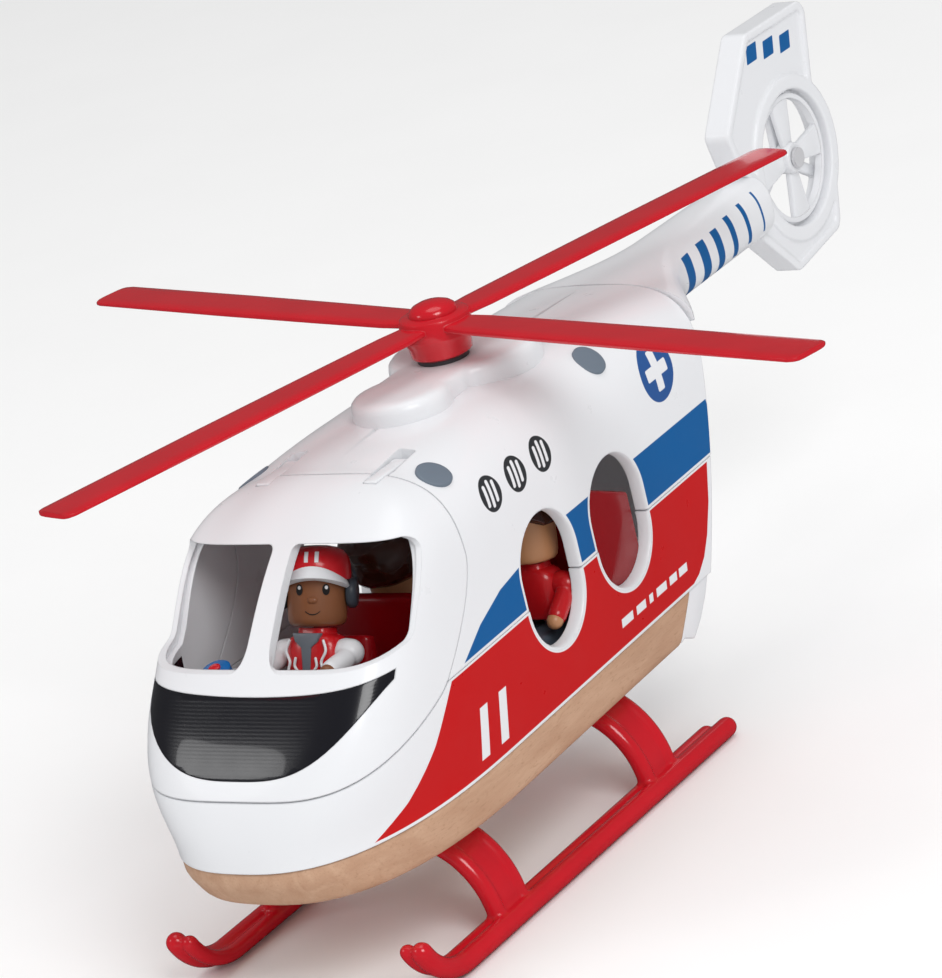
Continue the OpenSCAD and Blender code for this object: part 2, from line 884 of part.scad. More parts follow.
module at_hip(hip, recline, turn = 0) {
    translate(hip)
        rotate([0, 0, turn])
        rotate([-recline, 0, 0])
        translate([0, -4.2, 0])
        children();
}
module figure_legs(hip, shin, turn = 0) {
    translate(hip)
        rotate([0, 0, turn])
        for (s = [-1, 1])
            translate([s * 3, 0, 0]) {
                translate([-2.8, -13, 0.1])
                    cube([5.6, 12, 4.6]);
                translate([-2.8, -16.6, 0.1 - shin])
                    cube([5.6, 5, shin + 4.6]);
                translate([-2.8, -18.4, -shin])
                    cube([5.6, 6.8, 2.4]);
            }
}
module figure_body(hip, recline, turn = 0) {
    at_hip(hip, recline, turn)
        difference() {
            union() {
                translate([0, 0, 5.4])
                    linear_extrude(torso_h - 5.4 - 1.5)
                    offset(r = 2)
                    square([7.6, 3.6], center = true);
                translate([0, 0, torso_h - 1.6])
                    cylinder(h = 1.4, r = 3.6);
            }
            translate([-12, 0, shoulder_h - 2])
                rotate([0, 90, 0])
                cylinder(h = 24, r = 0.8);
        }
}
module figure_arm(hip, recline, side, lift, turn = 0) {
    at_hip(hip, recline, turn)
        translate([side * 5.95, 0, shoulder_h - 2])
        rotate([-lift, 0, 0]) {
            scale([side, 1, 1]) {
                rotate([0, 90, 0])
                    cylinder(h = 3.6, r = 2.5);
                translate([-4.2, 0, 0])
                    rotate([0, 90, 0])
                    cylinder(h = 4.4, r = 0.75);
                translate([1.8, 0, 0])
                    rotate([180, 0, 0])
                    cylinder(h = 7.6, r = 1.75);
                translate([1.8, 0, -8.6])
                    sphere(r = 1.9);
            }
        }
}
module figure_head(hip, recline, yaw, turn = 0) {
    at_hip(hip, recline, turn)
        translate([0, 0, torso_h + 0.05])
        rotate([0, 0, yaw])
        rotate_extrude()
        polygon([[0, 0], [3.9, 0], [5.2, 1.2], [5.6, 3], [5.6, 9.4], [4.8, 11], [3.2, 11.8], [0, 12]]);
}
// Cap or hair that covers the top and back of a head
module head_cover(hip, recline, yaw, low, r, h, turn = 0) {
    at_hip(hip, recline, turn)
        translate([0, 0, torso_h + 0.05])
        rotate([0, 0, yaw])
        difference() {
            rotate_extrude()
                polygon([[0, low], [r, low], [r, low + 2], [r - 0.7, h - 2], [r - 2.6, h - 0.5], [0, h]]);
            translate([0, 0, -0.01])
                rotate_extrude()
                polygon([[0, -1], [5.65, -1], [5.65, 9.42], [4.84, 11.06], [3.22, 11.88], [0, 12.08]]);
            translate([-8, -16, low - 1])
                cube([16, 11.5, 9.2 - low]);
        }
}

pilot_yaw = 26;
medic_yaw = 0;
passenger_yaw = 6;
module pilot_seat() {
    color("firebrick")
        translate(to_centre)
        seat(pilot_hip, pilot_recline, 0, 15, 15, 14.5, 0.6, 8);
}
module medic_seat() {
    color("firebrick")
        translate(to_centre)
        seat(medic_hip, medic_recline, medic_turn, 18, 30, 22, 2.6, 8);
}
module passenger_seat() {
    color("firebrick")
        translate(to_centre)
        seat([10.8, passenger_hip[1], passenger_hip[2]], passenger_recline, 0, 24, 24, 28, 2.6, 11,
            [[23, 21], [23, 3.2], [11, 3.2]]);
}
// Console beside the pilot, with a dial on its sloping top
console_x = -13;
console_y = -76.5;
console_h = 26;
console_tilt = 14;
module control_console() {
    color("lightgray")
        translate(to_centre)
        translate([console_x, console_y, floor_z + 0.05])
        difference() {
            translate([-4.8, -4, 0])
                cube([9.6, 6.9, console_h + 1.6]);
            translate([-6, -8, console_h - 1.25])
                rotate([console_tilt, 0, 0])
                cube([12, 16, 6]);
        }
}
module console_dial() {
    color("steelblue")
        translate(to_centre)
        translate([console_x, console_y, floor_z + console_h + 0.85])
        rotate([console_tilt, 0, 0])
        cylinder(h = 1.6, r = 3);
}
module pilot_legs() {
    color("dimgray")
        translate(to_centre)
        figure_legs(pilot_hip, 9);
}
module pilot_body() {
    color("red")
        translate(to_centre)
        figure_body(pilot_hip, pilot_recline);
}
module pilot_left_arm() {
    color("white")
        translate(to_centre)
        figure_arm(pilot_hip, pilot_recline, -1, 62);
}
module pilot_right_arm() {
    color("white")
        translate(to_centre)
        figure_arm(pilot_hip, pilot_recline, 1, 62);
}
module pilot_head() {
    color("saddlebrown")
        translate(to_centre)
        figure_head(pilot_hip, pilot_recline, pilot_yaw);
}
module pilot_cap() {
    color("red")
        translate(to_centre)
        head_cover(pilot_hip, pilot_recline, pilot_yaw, 9.2, 6.7, 14);
}
module pilot_headset() {
    color("slategray")
        translate(to_centre)
        at_hip(pilot_hip, pilot_recline)
        translate([0, 0, torso_h + 0.05])
        rotate([0, 0, pilot_yaw])
        for (s = [-1, 1])
            translate([s * 5.7, 0.6, 6.2])
                rotate([0, s * 90, 0])
                cylinder(h = 2.2, r = 2.9);
}
module medic_legs() {
    color("dimgray")
        translate(to_centre)
        figure_legs(medic_hip, 6.4, medic_turn);
}
module medic_body() {
    color("red")
        translate(to_centre)
        figure_body(medic_hip, medic_recline, medic_turn);
}
module medic_left_arm() {
    color("red")
        translate(to_centre)
        figure_arm(medic_hip, medic_recline, -1, 45, medic_turn);
}
module medic_right_arm() {
    color("red")
        translate(to_centre)
        figure_arm(medic_hip, medic_recline, 1, 45, medic_turn);
}
module medic_head() {
    color("peru")
        translate(to_centre)
        figure_head(medic_hip, medic_recline, medic_yaw, medic_turn);
}
module medic_hair() {
    color("saddlebrown")
        translate(to_centre)
        head_cover(medic_hip, medic_recline, medic_yaw, 3.5, 6.9, 14, medic_turn);
}
module passenger_legs() {
    color("dimgray")
        translate(to_centre)
        figure_legs(passenger_hip, 3.2);
}
module passenger_body() {
    color("red")
        translate(to_centre)
        figure_body(passenger_hip, passenger_recline);
}
module passenger_left_arm() {
    color("red")
        translate(to_centre)
        figure_arm(passenger_hip, passenger_recline, -1, 45);
}
module passenger_right_arm() {
    color("red")
        translate(to_centre)
        figure_arm(passenger_hip, passenger_recline, 1, 45);
}
module passenger_head() {
    color("peru")
        translate(to_centre)
        figure_head(passenger_hip, passenger_recline, passenger_yaw);
}
module passenger_hair() {
    color("saddlebrown")
        translate(to_centre)
        head_cover(passenger_hip, passenger_recline, passenger_yaw, 7.4, 6.5, 13.6);
}

wood_base();
lower_shell();
upper_shell();
roof_cowling();
canopy();
visor();
canopy_hinge_arms();
canopy_hinge_bracket();
canopy_hinge_pin();
tail_boom();
tail_fin();
tail_rotor();
tail_rotor_pin();
rear_hatch();
hatch_hinge_pin();
skid_frame();
skid_screws();
base_screws();
roof_screw_plugs();
rotor_bushing();
rotor_shaft();
rotor_retaining_ring();
main_rotor();
rotor_cap();
cabin_floor();
pilot_seat();
medic_seat();
passenger_seat();
control_console();
console_dial();
pilot_legs();
pilot_body();
pilot_left_arm();
pilot_right_arm();
pilot_head();
pilot_cap();
pilot_headset();
medic_legs();
medic_body();
medic_left_arm();
medic_right_arm();
medic_head();
medic_hair();
passenger_legs();
passenger_body();
passenger_left_arm();
passenger_right_arm();
passenger_head();
passenger_hair();
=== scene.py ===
import json
import math

import bmesh
import bpy
import numpy as np
from mathutils import Matrix, Vector


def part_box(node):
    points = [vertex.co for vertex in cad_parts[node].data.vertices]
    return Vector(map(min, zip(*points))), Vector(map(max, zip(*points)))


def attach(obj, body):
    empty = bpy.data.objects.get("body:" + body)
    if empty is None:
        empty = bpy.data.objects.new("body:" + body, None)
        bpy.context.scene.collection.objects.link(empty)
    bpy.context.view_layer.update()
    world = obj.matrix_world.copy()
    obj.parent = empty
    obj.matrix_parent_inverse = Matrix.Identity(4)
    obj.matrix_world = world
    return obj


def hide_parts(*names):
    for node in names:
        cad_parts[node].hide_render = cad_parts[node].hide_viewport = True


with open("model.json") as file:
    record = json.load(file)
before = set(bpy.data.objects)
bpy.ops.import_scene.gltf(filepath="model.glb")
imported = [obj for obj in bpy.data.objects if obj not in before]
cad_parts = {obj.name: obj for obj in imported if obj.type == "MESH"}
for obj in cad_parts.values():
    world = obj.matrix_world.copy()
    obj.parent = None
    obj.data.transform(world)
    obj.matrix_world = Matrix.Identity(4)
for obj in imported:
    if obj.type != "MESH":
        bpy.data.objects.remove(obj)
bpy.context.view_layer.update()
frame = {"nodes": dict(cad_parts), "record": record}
MM = 0.001
# The sizes below are laid out from the rotor axis; finished pieces move by this much
TO_CENTRE = Vector((0.0, -29.558, 0.0))

# == Sizes, in millimetres
WALL = 2.2
SEAM_Z = 52.0
GAP = 0.15
SIDE_HALF_W = 25.9
SIDE_TAPER = 0.037
ROOF_Z = 87.6
ROOF_RISE = 1.4
SHOULDER_Z = 66.0
SHOULDER_POWER = 3.4
WOOD_TOP = 30.5
WOOD_LOW = 21.5
NOSE_Y = -44.0
LOW_PROFILE = ((-101.5, WOOD_TOP), (-101.3, 39.0), (-96.0, 47.0), (-88.0, 56.0))
HIGH_PROFILE = ((-88.0, 56.0), (-75.0, 70.6), (-62.0, ROOF_Z), (NOSE_Y, ROOF_Z))
WINDOW_R = 10.5
WINDOW_STRAIGHT = 6.0
WINDOW_Z = 54.2
WINDOWS_Y = (-19.4, 9.3)
TAIL_Y, TAIL_Z = 142.4, 84.3
TAIL_RING_R = 18.2
TAIL_OPENING_R = 15.0
FIN_T = 6.0
BOOM_START_Y, BOOM_END_Y = 55.4, 122.0
ROTOR_Z = 100.5
ROTOR_R = 100.0
ROTOR_REST = math.radians(-14.2)
SKID_X, SKID_R = 28.1, 2.0
SKID_REAR_Y, SKID_FRONT_Y = 26.0, -77.0
CURL_R, CURL_DEG = 15.0, 62.0
LEG_Y = (-58.0, 1.0)
LEG_BEND_R = 17.8
PLUG_PLACES = ((-41.1, 84.9), (18.6, 84.6))
HINGE_Y, HINGE_Z, HINGE_ARM_X = -39.5, 83.6, 12.4
CANOPY_EDGE_Y, CANOPY_LOW_Y, CANOPY_FRONT_Z = -46.5, -62.5, 42.5
# Wall thickness and width of the thin rim round the cockpit openings
FRAME_T, FRAME_W = 1.1, 1.5
HATCH_HALF_W, HATCH_LOW_Z, HATCH_HIGH_Z = 21.0, 33.5, 77.2
HATCH_PIN = (52.6, 76.2)
VISOR_HALF_W = 27.0

WHITE = (0.80, 0.81, 0.835)
BLUE = (0.0, 0.105, 0.33)
BADGE_BLUE = (0.02, 0.09, 0.30)
PRINT_RED = (0.56, 0.001, 0.002)
RED = (0.60, 0.008, 0.018)
CHARCOAL = (0.03, 0.032, 0.036)
VISOR_BLACK = (0.009, 0.009, 0.013)


def ramp(x):
    return min(1.0, max(0.0, x))


def smooth(x):
    x = ramp(x)
    return x * x * (3 - 2 * x)


# == Cabin shape
def bezier(p, t):
    p = np.array(p)
    return ((1 - t) ** 3 * p[0] + 3 * (1 - t) ** 2 * t * p[1]
            + 3 * (1 - t) * t * t * p[2] + t ** 3 * p[3])


def bezier_normal(p, t):
    """Inward normal of a profile that runs up and back."""
    p = np.array(p)
    d = ((1 - t) ** 2 * (p[1] - p[0]) + 2 * (1 - t) * t * (p[2] - p[1])
         + t * t * (p[3] - p[2]))
    d = d / np.linalg.norm(d)
    return np.array((d[1], -d[0]))


def side_w(y):
    return SIDE_HALF_W - SIDE_TAPER * y


def roof_z(y):
    r = ramp((y - NOSE_Y) / 24)
    return ROOF_Z + ROOF_RISE * r * (2 - r) - 1.6 * ramp((y - 10) / 45) ** 2


def shoulder(z, top):
    u = ramp((z - SHOULDER_Z) / (top - SHOULDER_Z))
    return max(0.0, 1 - u ** SHOULDER_POWER) ** (1 / SHOULDER_POWER)


def squareness(z):
    return 2.6 + 2.9 * smooth((z - WOOD_TOP) / 27)


def rear_y(z):
    return 55 - 16.5 * ramp((87 - z) / 56.5) ** 2


def height_steps(low_n=22, mid_n=8, high_n=26):
    """Points on the front profile with their inward normals, from the wood to the roof."""
    steps = [(bezier(LOW_PROFILE, i / low_n), bezier_normal(LOW_PROFILE, i / low_n))
             for i in range(low_n)]
    heights = [56 + (SHOULDER_Z - 56) * i / mid_n for i in range(mid_n)]
    for i in range(high_n + 1):
        a = math.pi / 2 * i / high_n
        heights.append(SHOULDER_Z + (ROOF_Z - SHOULDER_Z) * math.sin(a) ** (2 / SHOULDER_POWER))
    for z in heights:
        a, b = 0.0, 1.0
        for _ in range(40):
            t = (a + b) / 2
            a, b = (t, b) if bezier(HIGH_PROFILE, t)[1] < z else (a, t)
        t = min((a + b) / 2, 0.9995)
        steps.append((bezier(HIGH_PROFILE, t), bezier_normal(HIGH_PROFILE, t)))
    return steps


def ring_half(step, inset, drop=0.0, nose_n=36, side_n=34):
    p = step[0] + inset * step[1]
    z = p[1]
    b = NOSE_Y - p[0]
    m = squareness(z)
    s = shoulder(z, ROOF_Z - inset)
    f = (z - WOOD_TOP) / (ROOF_Z - inset - WOOD_TOP)
    out = []
    for i in range(nose_n + 1):
        a = math.pi / 2 * i / nose_n
        c, d = abs(math.cos(a)), math.sin(a)
        r = (c ** m + d ** m) ** (-1 / m)
        y = NOSE_Y - b * r * c
        out.append(((side_w(y) - inset) * s * r * d, y, z - drop))
    extra = 1.0 if inset > 0 else 0.0
    for j in range(1, side_n + 1):
        y = NOSE_Y + (rear_y(z) - NOSE_Y + extra) * j / side_n
        top = roof_z(y) - inset
        zz = WOOD_TOP + (top - WOOD_TOP) * f
        out.append(((side_w(y) - inset) * shoulder(zz, top), y, zz - drop))
    return out


def loft(rings, cap=True):
    """Faces and points of a stack of rings of equal length."""
    n = len(rings[0])
    pts = [p for r in rings for p in r]
    faces = []
    for k in range(len(rings) - 1):
        for i in range(n):
            a, b = k * n + i, k * n + (i + 1) % n
            faces.append((a, b, b + n, a + n))
    if cap:
        faces.append(tuple(range(n - 1, -1, -1)))
        faces.append(tuple(range(n * (len(rings) - 1), n * len(rings))))
    return pts, faces


# == Mesh helpers
def add_mesh(name, pts, faces, sharp=34):
    me = bpy.data.meshes.new(name)
    me.from_pydata([(x * MM, y * MM, z * MM) for x, y, z in pts], [], faces)
    ob = bpy.data.objects.new(name, me)
    bpy.context.scene.collection.objects.link(ob)
    clean(ob)
    shade(ob, sharp)
    return ob


def clean(ob, dist=0.004 * MM):
    bm = bmesh.new()
    bm.from_mesh(ob.data)
    bmesh.ops.remove_doubles(bm, verts=bm.verts, dist=dist)
    bmesh.ops.dissolve_degenerate(bm, edges=bm.edges, dist=dist)
    bmesh.ops.recalc_face_normals(bm, faces=bm.faces)
    bm.to_mesh(ob.data)
    bm.free()


def shade(ob, sharp=34):
    ob.data.shade_smooth()
    ob.data.set_sharp_from_angle(angle=math.radians(sharp))


def bake(ob):
    """Applies the modifiers of an object to its mesh."""
    graph = bpy.context.evaluated_depsgraph_get()
    mesh = bpy.data.meshes.new_from_object(ob.evaluated_get(graph))
    ob.modifiers.clear()
    ob.data = mesh


def boolean(ob, tools, sharp=34):
    """Cuts, joins or intersects ob with other objects, which are removed afterwards."""
    for op, tool in tools:
        m = ob.modifiers.new("cut", "BOOLEAN")
        m.operation = op
        m.object = tool
        m.solver = "EXACT"
    bake(ob)
    for _, tool in tools:
        bpy.data.objects.remove(tool)
    shade(ob, sharp)
    return ob


def cut(*tools):
    return [("DIFFERENCE", tool) for tool in tools]


def soften(ob, width, segments=3, angle=40, sharp=60):
    m = ob.modifiers.new("bevel", "BEVEL")
    m.width = width * MM
    m.segments = segments
    m.limit_method = "ANGLE"
    m.angle_limit = math.radians(angle)
    bake(ob)
    shade(ob, sharp)
    return ob


def melt(ob, voxel, rounds):
    """Joins touching solids into one moulded skin with small fillets."""
    m = ob.modifiers.new("remesh", "REMESH")
    m.mode = "VOXEL"
    m.voxel_size = voxel * MM
    bake(ob)
    m = ob.modifiers.new("smooth", "SMOOTH")
    m.factor = 0.6
    m.iterations = rounds
    bake(ob)
    shade(ob, 180)
    return ob


def join(name, objects):
    """One mesh from several objects."""
    bm = bmesh.new()
    for o in objects:
        me = o.data.copy()
        me.transform(o.matrix_world)
        bm.from_mesh(me)
        bpy.data.meshes.remove(me)
    me = bpy.data.meshes.new(name)
    bm.to_mesh(me)
    bm.free()
    for o in objects:
        bpy.data.objects.remove(o)
    ob = bpy.data.objects.new(name, me)
    bpy.context.scene.collection.objects.link(ob)
    return ob


def prism(name, outline, low, high, axis="x"):
    """Extrudes a 2D outline: (y, z) along x, (x, z) along y or (x, y) along z."""
    place = {"x": lambda u, v, w: (w, u, v), "y": lambda u, v, w: (u, w, v),
             "z": lambda u, v, w: (u, v, w)}[axis]
    rings = [[place(u, v, w) for u, v in outline] for w in (low, high)]
    return add_mesh(name, *loft(rings))


def rounded(outline, radius, n=6):
    """The outline with its corners replaced by arcs."""
    out = []
    size = len(outline)
    for i in range(size):
        a, b, c = (Vector(outline[(i + k - 1) % size]) for k in range(3))
        u, v = (a - b), (c - b)
        half = u.angle(v) / 2
        reach = min(radius / math.tan(half), u.length * 0.48, v.length * 0.48)
        r = reach * math.tan(half)
        u.normalize()
        v.normalize()
        centre = b + (u + v).normalized() * (r / math.sin(half))
        p, q = b + u * reach - centre, b + v * reach - centre
        turn = p.angle_signed(q) if p.length > 1e-6 else 0
        for k in range(n + 1):
            t = turn * k / n
            w = Vector((p.x * math.cos(-t) - p.y * math.sin(-t), p.x * math.sin(-t) + p.y * math.cos(-t)))
            out.append(tuple(centre + w))
    return out


def turns(n):
    """Cosine and sine of n even steps of a full turn."""
    return [(math.cos(2 * math.pi * i / n), math.sin(2 * math.pi * i / n)) for i in range(n)]


def circle(cu, cv, r, n=96):
    return [(cu + r * c, cv + r * s) for c, s in turns(n)]


def oval(half_w, half_h, power, n):
    """Points of an oval with squared shoulders."""
    out = []
    for c, s in turns(n):
        r = (abs(c) ** power + abs(s) ** power) ** (-1 / power)
        out.append((half_w * r * c, half_h * r * s))
    return out


def stadium(cy, cz, r, straight, n=24):
    """Upright rounded outline as (y, z)."""
    out = []
    for sign, start in ((1, 0), (-1, 180)):
        for i in range(n + 1):
            a = math.radians(start + 180 * i / n)
            out.append((cy + r * math.cos(a), cz + sign * straight / 2 + r * math.sin(a)))
    return out


def lathe(name, profile, n=48, sharp=50):
    """Turns a profile of (radius, height) points round the z axis."""
    rings = [[(r * c, r * s, z) for c, s in turns(n)] for r, z in profile]
    return add_mesh(name, *loft(rings), sharp=sharp)


def spline(points, n):
    """Points on a smooth curve through the given points."""
    pts = [Vector(p) for p in points]
    pts = [2 * pts[0] - pts[1]] + pts + [2 * pts[-1] - pts[-2]]
    out = []
    for i in range(1, len(pts) - 2):
        a, b, c, d = pts[i - 1:i + 3]
        for k in range(n):
            t = k / n
            out.append(0.5 * (2 * b + (c - a) * t + (2 * a - 5 * b + 4 * c - d) * t * t
                              + (3 * b - a - 3 * c + d) * t ** 3))
    out.append(pts[-2])
    return out


def tube(name, path, radius, n=20):
    """A round rod along a path of points, with domed ends."""
    path = [Vector(p) for p in path]
    first, last = (path[0] - path[1]).normalized(), (path[-1] - path[-2]).normalized()
    caps = [(math.sin(a), math.cos(a)) for a in np.linspace(math.pi / 2, 0.12, 6)]
    thin = [radius * c for _, c in caps]
    radii = thin + [radius] * len(path) + thin[::-1]
    head = [path[0] + first * radius * s for s, _ in caps]
    tail = [path[-1] + last * radius * s for s, _ in caps]
    path = head + path + tail[::-1]
    rings = []
    normal = None
    for i, p in enumerate(path):
        d = (path[min(i + 1, len(path) - 1)] - path[max(i - 1, 0)]).normalized()
        if normal is None:
            normal = d.orthogonal().normalized()
        normal = (normal - d * normal.dot(d)).normalized()
        side = d.cross(normal)
        rings.append([tuple(p + radii[i] * (normal * c + side * s)) for c, s in turns(n)])
    return add_mesh(name, *loft(rings), sharp=70)


def block(name, low, high, radius=0.6, segments=3):
    """A rounded box between two corners."""
    (a, b, c), (d, e, f) = low, high
    ob = prism(name, [(a, b), (d, b), (d, e), (a, e)], c, f, "z")
    return soften(ob, radius, segments)


def place(ob, matrix):
    """Moves a piece made at the origin in millimetres by a matrix in millimetres."""
    m = matrix.copy()
    m.translation = m.translation * MM
    ob.data.transform(m)
    ob.data.update()
    return ob


def fit(ob, body, finish, *nodes):
    """Gives a finished piece its material and body, and hides the CAD nodes it stands for."""
    ob.data.transform(Matrix.Translation(TO_CENTRE * MM))
    ob.data.materials.clear()
    ob.data.materials.append(MATERIALS[finish])
    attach(ob, body)
    if nodes:
        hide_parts(*nodes)
    return ob


# == Material helpers
class Term:
    """A value in a node tree that can be used in plain arithmetic."""

    def __init__(self, shader, socket):
        self.shader, self.socket = shader, socket

    def __add__(self, o):
        return self.shader.math("ADD", self, o)

    def __sub__(self, o):
        return self.shader.math("SUBTRACT", self, o)

    def __rsub__(self, o):
        return self.shader.math("SUBTRACT", o, self)

    def __mul__(self, o):
        return self.shader.math("MULTIPLY", self, o)

    __radd__, __rmul__ = __add__, __mul__


class Shader:
    """Small builder for one node material; lengths inside it are millimetres."""

    def __init__(self, name):
        self.material = bpy.data.materials.new(name)
        self.material.use_nodes = True
        self.tree = self.material.node_tree
        self.tree.nodes.clear()
        self.out = self.node("OutputMaterial")
        self.bsdf = self.node("BsdfPrincipled")
        self.link(self.bsdf.outputs[0], self.out.inputs[0])
        coord = self.node("TexCoord")
        self.geometry = self.node("NewGeometry")
        scale = self.node("VectorMath")
        scale.operation = "SCALE"
        scale.inputs["Scale"].default_value = 1000.0
        self.link(coord.outputs["Object"], scale.inputs[0])
        move = self.node("VectorMath")
        move.operation = "SUBTRACT"
        move.inputs[1].default_value = TO_CENTRE
        self.link(scale.outputs[0], move.inputs[0])
        self.position = move.outputs[0]
        self.x, self.y, self.z = self.split(self.position)
        self.nx = self.split(self.geometry.outputs["Normal"])[0]

    def node(self, kind):
        return self.tree.nodes.new("ShaderNode" + kind)

    def link(self, output, socket):
        self.tree.links.new(output, socket)

    def split(self, socket):
        n = self.node("SeparateXYZ")
        self.link(socket, n.inputs[0])
        return [Term(self, s) for s in n.outputs]

    def plug(self, value, socket):
        if isinstance(value, Term):
            self.link(value.socket, socket)
        elif isinstance(value, bpy.types.NodeSocket):
            self.link(value, socket)
        elif isinstance(value, tuple) and len(value) == 3 and socket.type == "RGBA":
            socket.default_value = (*value, 1.0)
        else:
            socket.default_value = value

    def math(self, op, a, b=0.0):
        n = self.node("Math")
        n.operation = op
        self.plug(a, n.inputs[0])
        self.plug(b, n.inputs[1])
        return Term(self, n.outputs[0])

    def low(self, a, b):
        return self.math("MINIMUM", a, b)

    def high(self, a, b):
        return self.math("MAXIMUM", a, b)

    def size(self, a):
        return self.math("ABSOLUTE", a)

    def inside(self, distance, soft=0.12):
        """1 where the signed distance is below zero."""
        return self.high(self.low(0.5 - distance * (1 / soft), 1.0), 0.0)

    def box(self, u, v, cu, cv, hu, hv, slant=0.0, corner=0.0):
        """Distance to a box in two coordinates, leaning by slant along the first one."""
        v0 = v - cv
        a = self.size(u - cu - v0 * slant) - (hu - corner)
        b = self.size(v0) - (hv - corner)
        if corner:
            away = self.math("SQRT", self.high(a, 0.0) * self.high(a, 0.0)
                             + self.high(b, 0.0) * self.high(b, 0.0))
            return self.low(self.high(a, b), 0.0) + away - corner
        return self.high(a, b)

    def disc(self, u, v, cu, cv, r):
        a, b = u - cu, v - cv
        return self.math("SQRT", a * a + b * b) - r

    def stadium(self, cy, cz, r, straight):
        a = self.y - cy
        b = self.high(self.size(self.z - cz) - straight / 2, 0.0)
        return self.math("SQRT", a * a + b * b) - r

    def follow(self, value, points):
        """Height of a line through points, above the value; flat beyond both ends."""
        total = points[0][1] + 0.0 * value
        for (a, p), (b, q) in zip(points, points[1:]):
            total = total + self.low(self.high(value - a, 0.0), b - a) * ((q - p) / (b - a))
        return total

    def mix(self, a, b, factor):
        n = self.node("Mix")
        n.data_type = "RGBA"
        self.plug(factor, n.inputs[0])
        self.plug(a, n.inputs[6])
        self.plug(b, n.inputs[7])
        return n.outputs[2]

    def noise(self, scale, detail=3.0, rough=0.5, stretch=None, distortion=0.0):
        n = self.node("TexNoise")
        source = self.position
        if stretch:
            m = self.node("Mapping")
            m.inputs["Scale"].default_value = stretch
            self.link(source, m.inputs[0])
            source = m.outputs[0]
        self.link(source, n.inputs["Vector"])
        n.inputs["Scale"].default_value = scale
        n.inputs["Detail"].default_value = detail
        n.inputs["Roughness"].default_value = rough
        n.inputs["Distortion"].default_value = distortion
        return Term(self, n.outputs[0])

    def edges(self, radius):
        """Rounded normal for the edges, and a mask that is 1 on worn edges."""
        b = self.node("Bevel")
        b.samples = 4
        b.inputs["Radius"].default_value = radius * MM
        d = self.node("VectorMath")
        d.operation = "DOT_PRODUCT"
        self.link(b.outputs[0], d.inputs[0])
        self.link(self.geometry.outputs["Normal"], d.inputs[1])
        worn = self.low(self.high((1.0 - Term(self, d.outputs["Value"])) * 5.0, 0.0), 1.0)
        return b.outputs[0], worn

    def bump(self, height, strength, distance=0.05, normal=None):
        n = self.node("Bump")
        n.inputs["Strength"].default_value = strength
        n.inputs["Distance"].default_value = distance * MM
        self.plug(height, n.inputs["Height"])
        if normal is not None:
            self.link(normal, n.inputs["Normal"])
        return n.outputs[0]

    def finish(self, color, rough, normal=None, coat=0.0, specular=0.5):
        self.plug(color, self.bsdf.inputs["Base Color"])
        self.plug(rough, self.bsdf.inputs["Roughness"])
        self.bsdf.inputs["Specular IOR Level"].default_value = specular
        self.bsdf.inputs["Coat Weight"].default_value = coat
        self.bsdf.inputs["Coat Roughness"].default_value = 0.05
        if normal is not None:
            self.link(normal, self.bsdf.inputs["Normal"])
        return self.material


def plastic(name, color, rough=0.28, coat=0.25, edge=0.35, paint=None, variation=0.05, grain=0.05,
            relief=None):
    """Moulded plastic: slight colour drift, uneven gloss, fine grain and paler rubbed edges."""
    s = Shader(name)
    base = paint(s) if paint else color
    drift = s.noise(0.09, 3.0)
    dark = tuple(c * (1 - variation * 2) for c in color)
    if paint:
        base = s.mix(base, (0.30, 0.30, 0.31), drift * variation * 0.5)
    else:
        base = s.mix(dark, color, s.low(s.high(drift * 2.2 - 0.55, 0.0), 1.0))
    rounded_normal, worn = s.edges(edge)
    patch = s.noise(0.35, 4.0)
    pale = tuple(min(1.0, c * 1.25 + 0.05) for c in color)
    base = s.mix(base, pale, worn * patch * (0.08 if paint else 0.28))
    smear = s.noise(0.16, 5.0, 0.6)
    gloss = s.high(rough + (smear - 0.5) * 0.14 + worn * 0.12, 0.03)
    fine = s.noise(3.2, 2.0)
    height = fine if relief is None else fine * 0.15 + relief(s)
    normal = s.bump(height, grain, 0.06 if relief is None else 0.4, rounded_normal)
    return s.finish(base, gloss, normal, coat, 0.28 if paint else 0.42)


def metal(name, color, rough=0.32):
    s = Shader(name)
    normal, worn = s.edges(0.15)
    lines = s.noise(2.0, 4.0, 0.6)
    base = s.mix(color, tuple(c * 0.72 for c in color), lines)
    base = s.mix(base, (0.85, 0.85, 0.86), worn * 0.5)
    s.bsdf.inputs["Metallic"].default_value = 1.0
    return s.finish(base, rough + (lines - 0.5) * 0.25, s.bump(lines, 0.12, 0.03, normal))


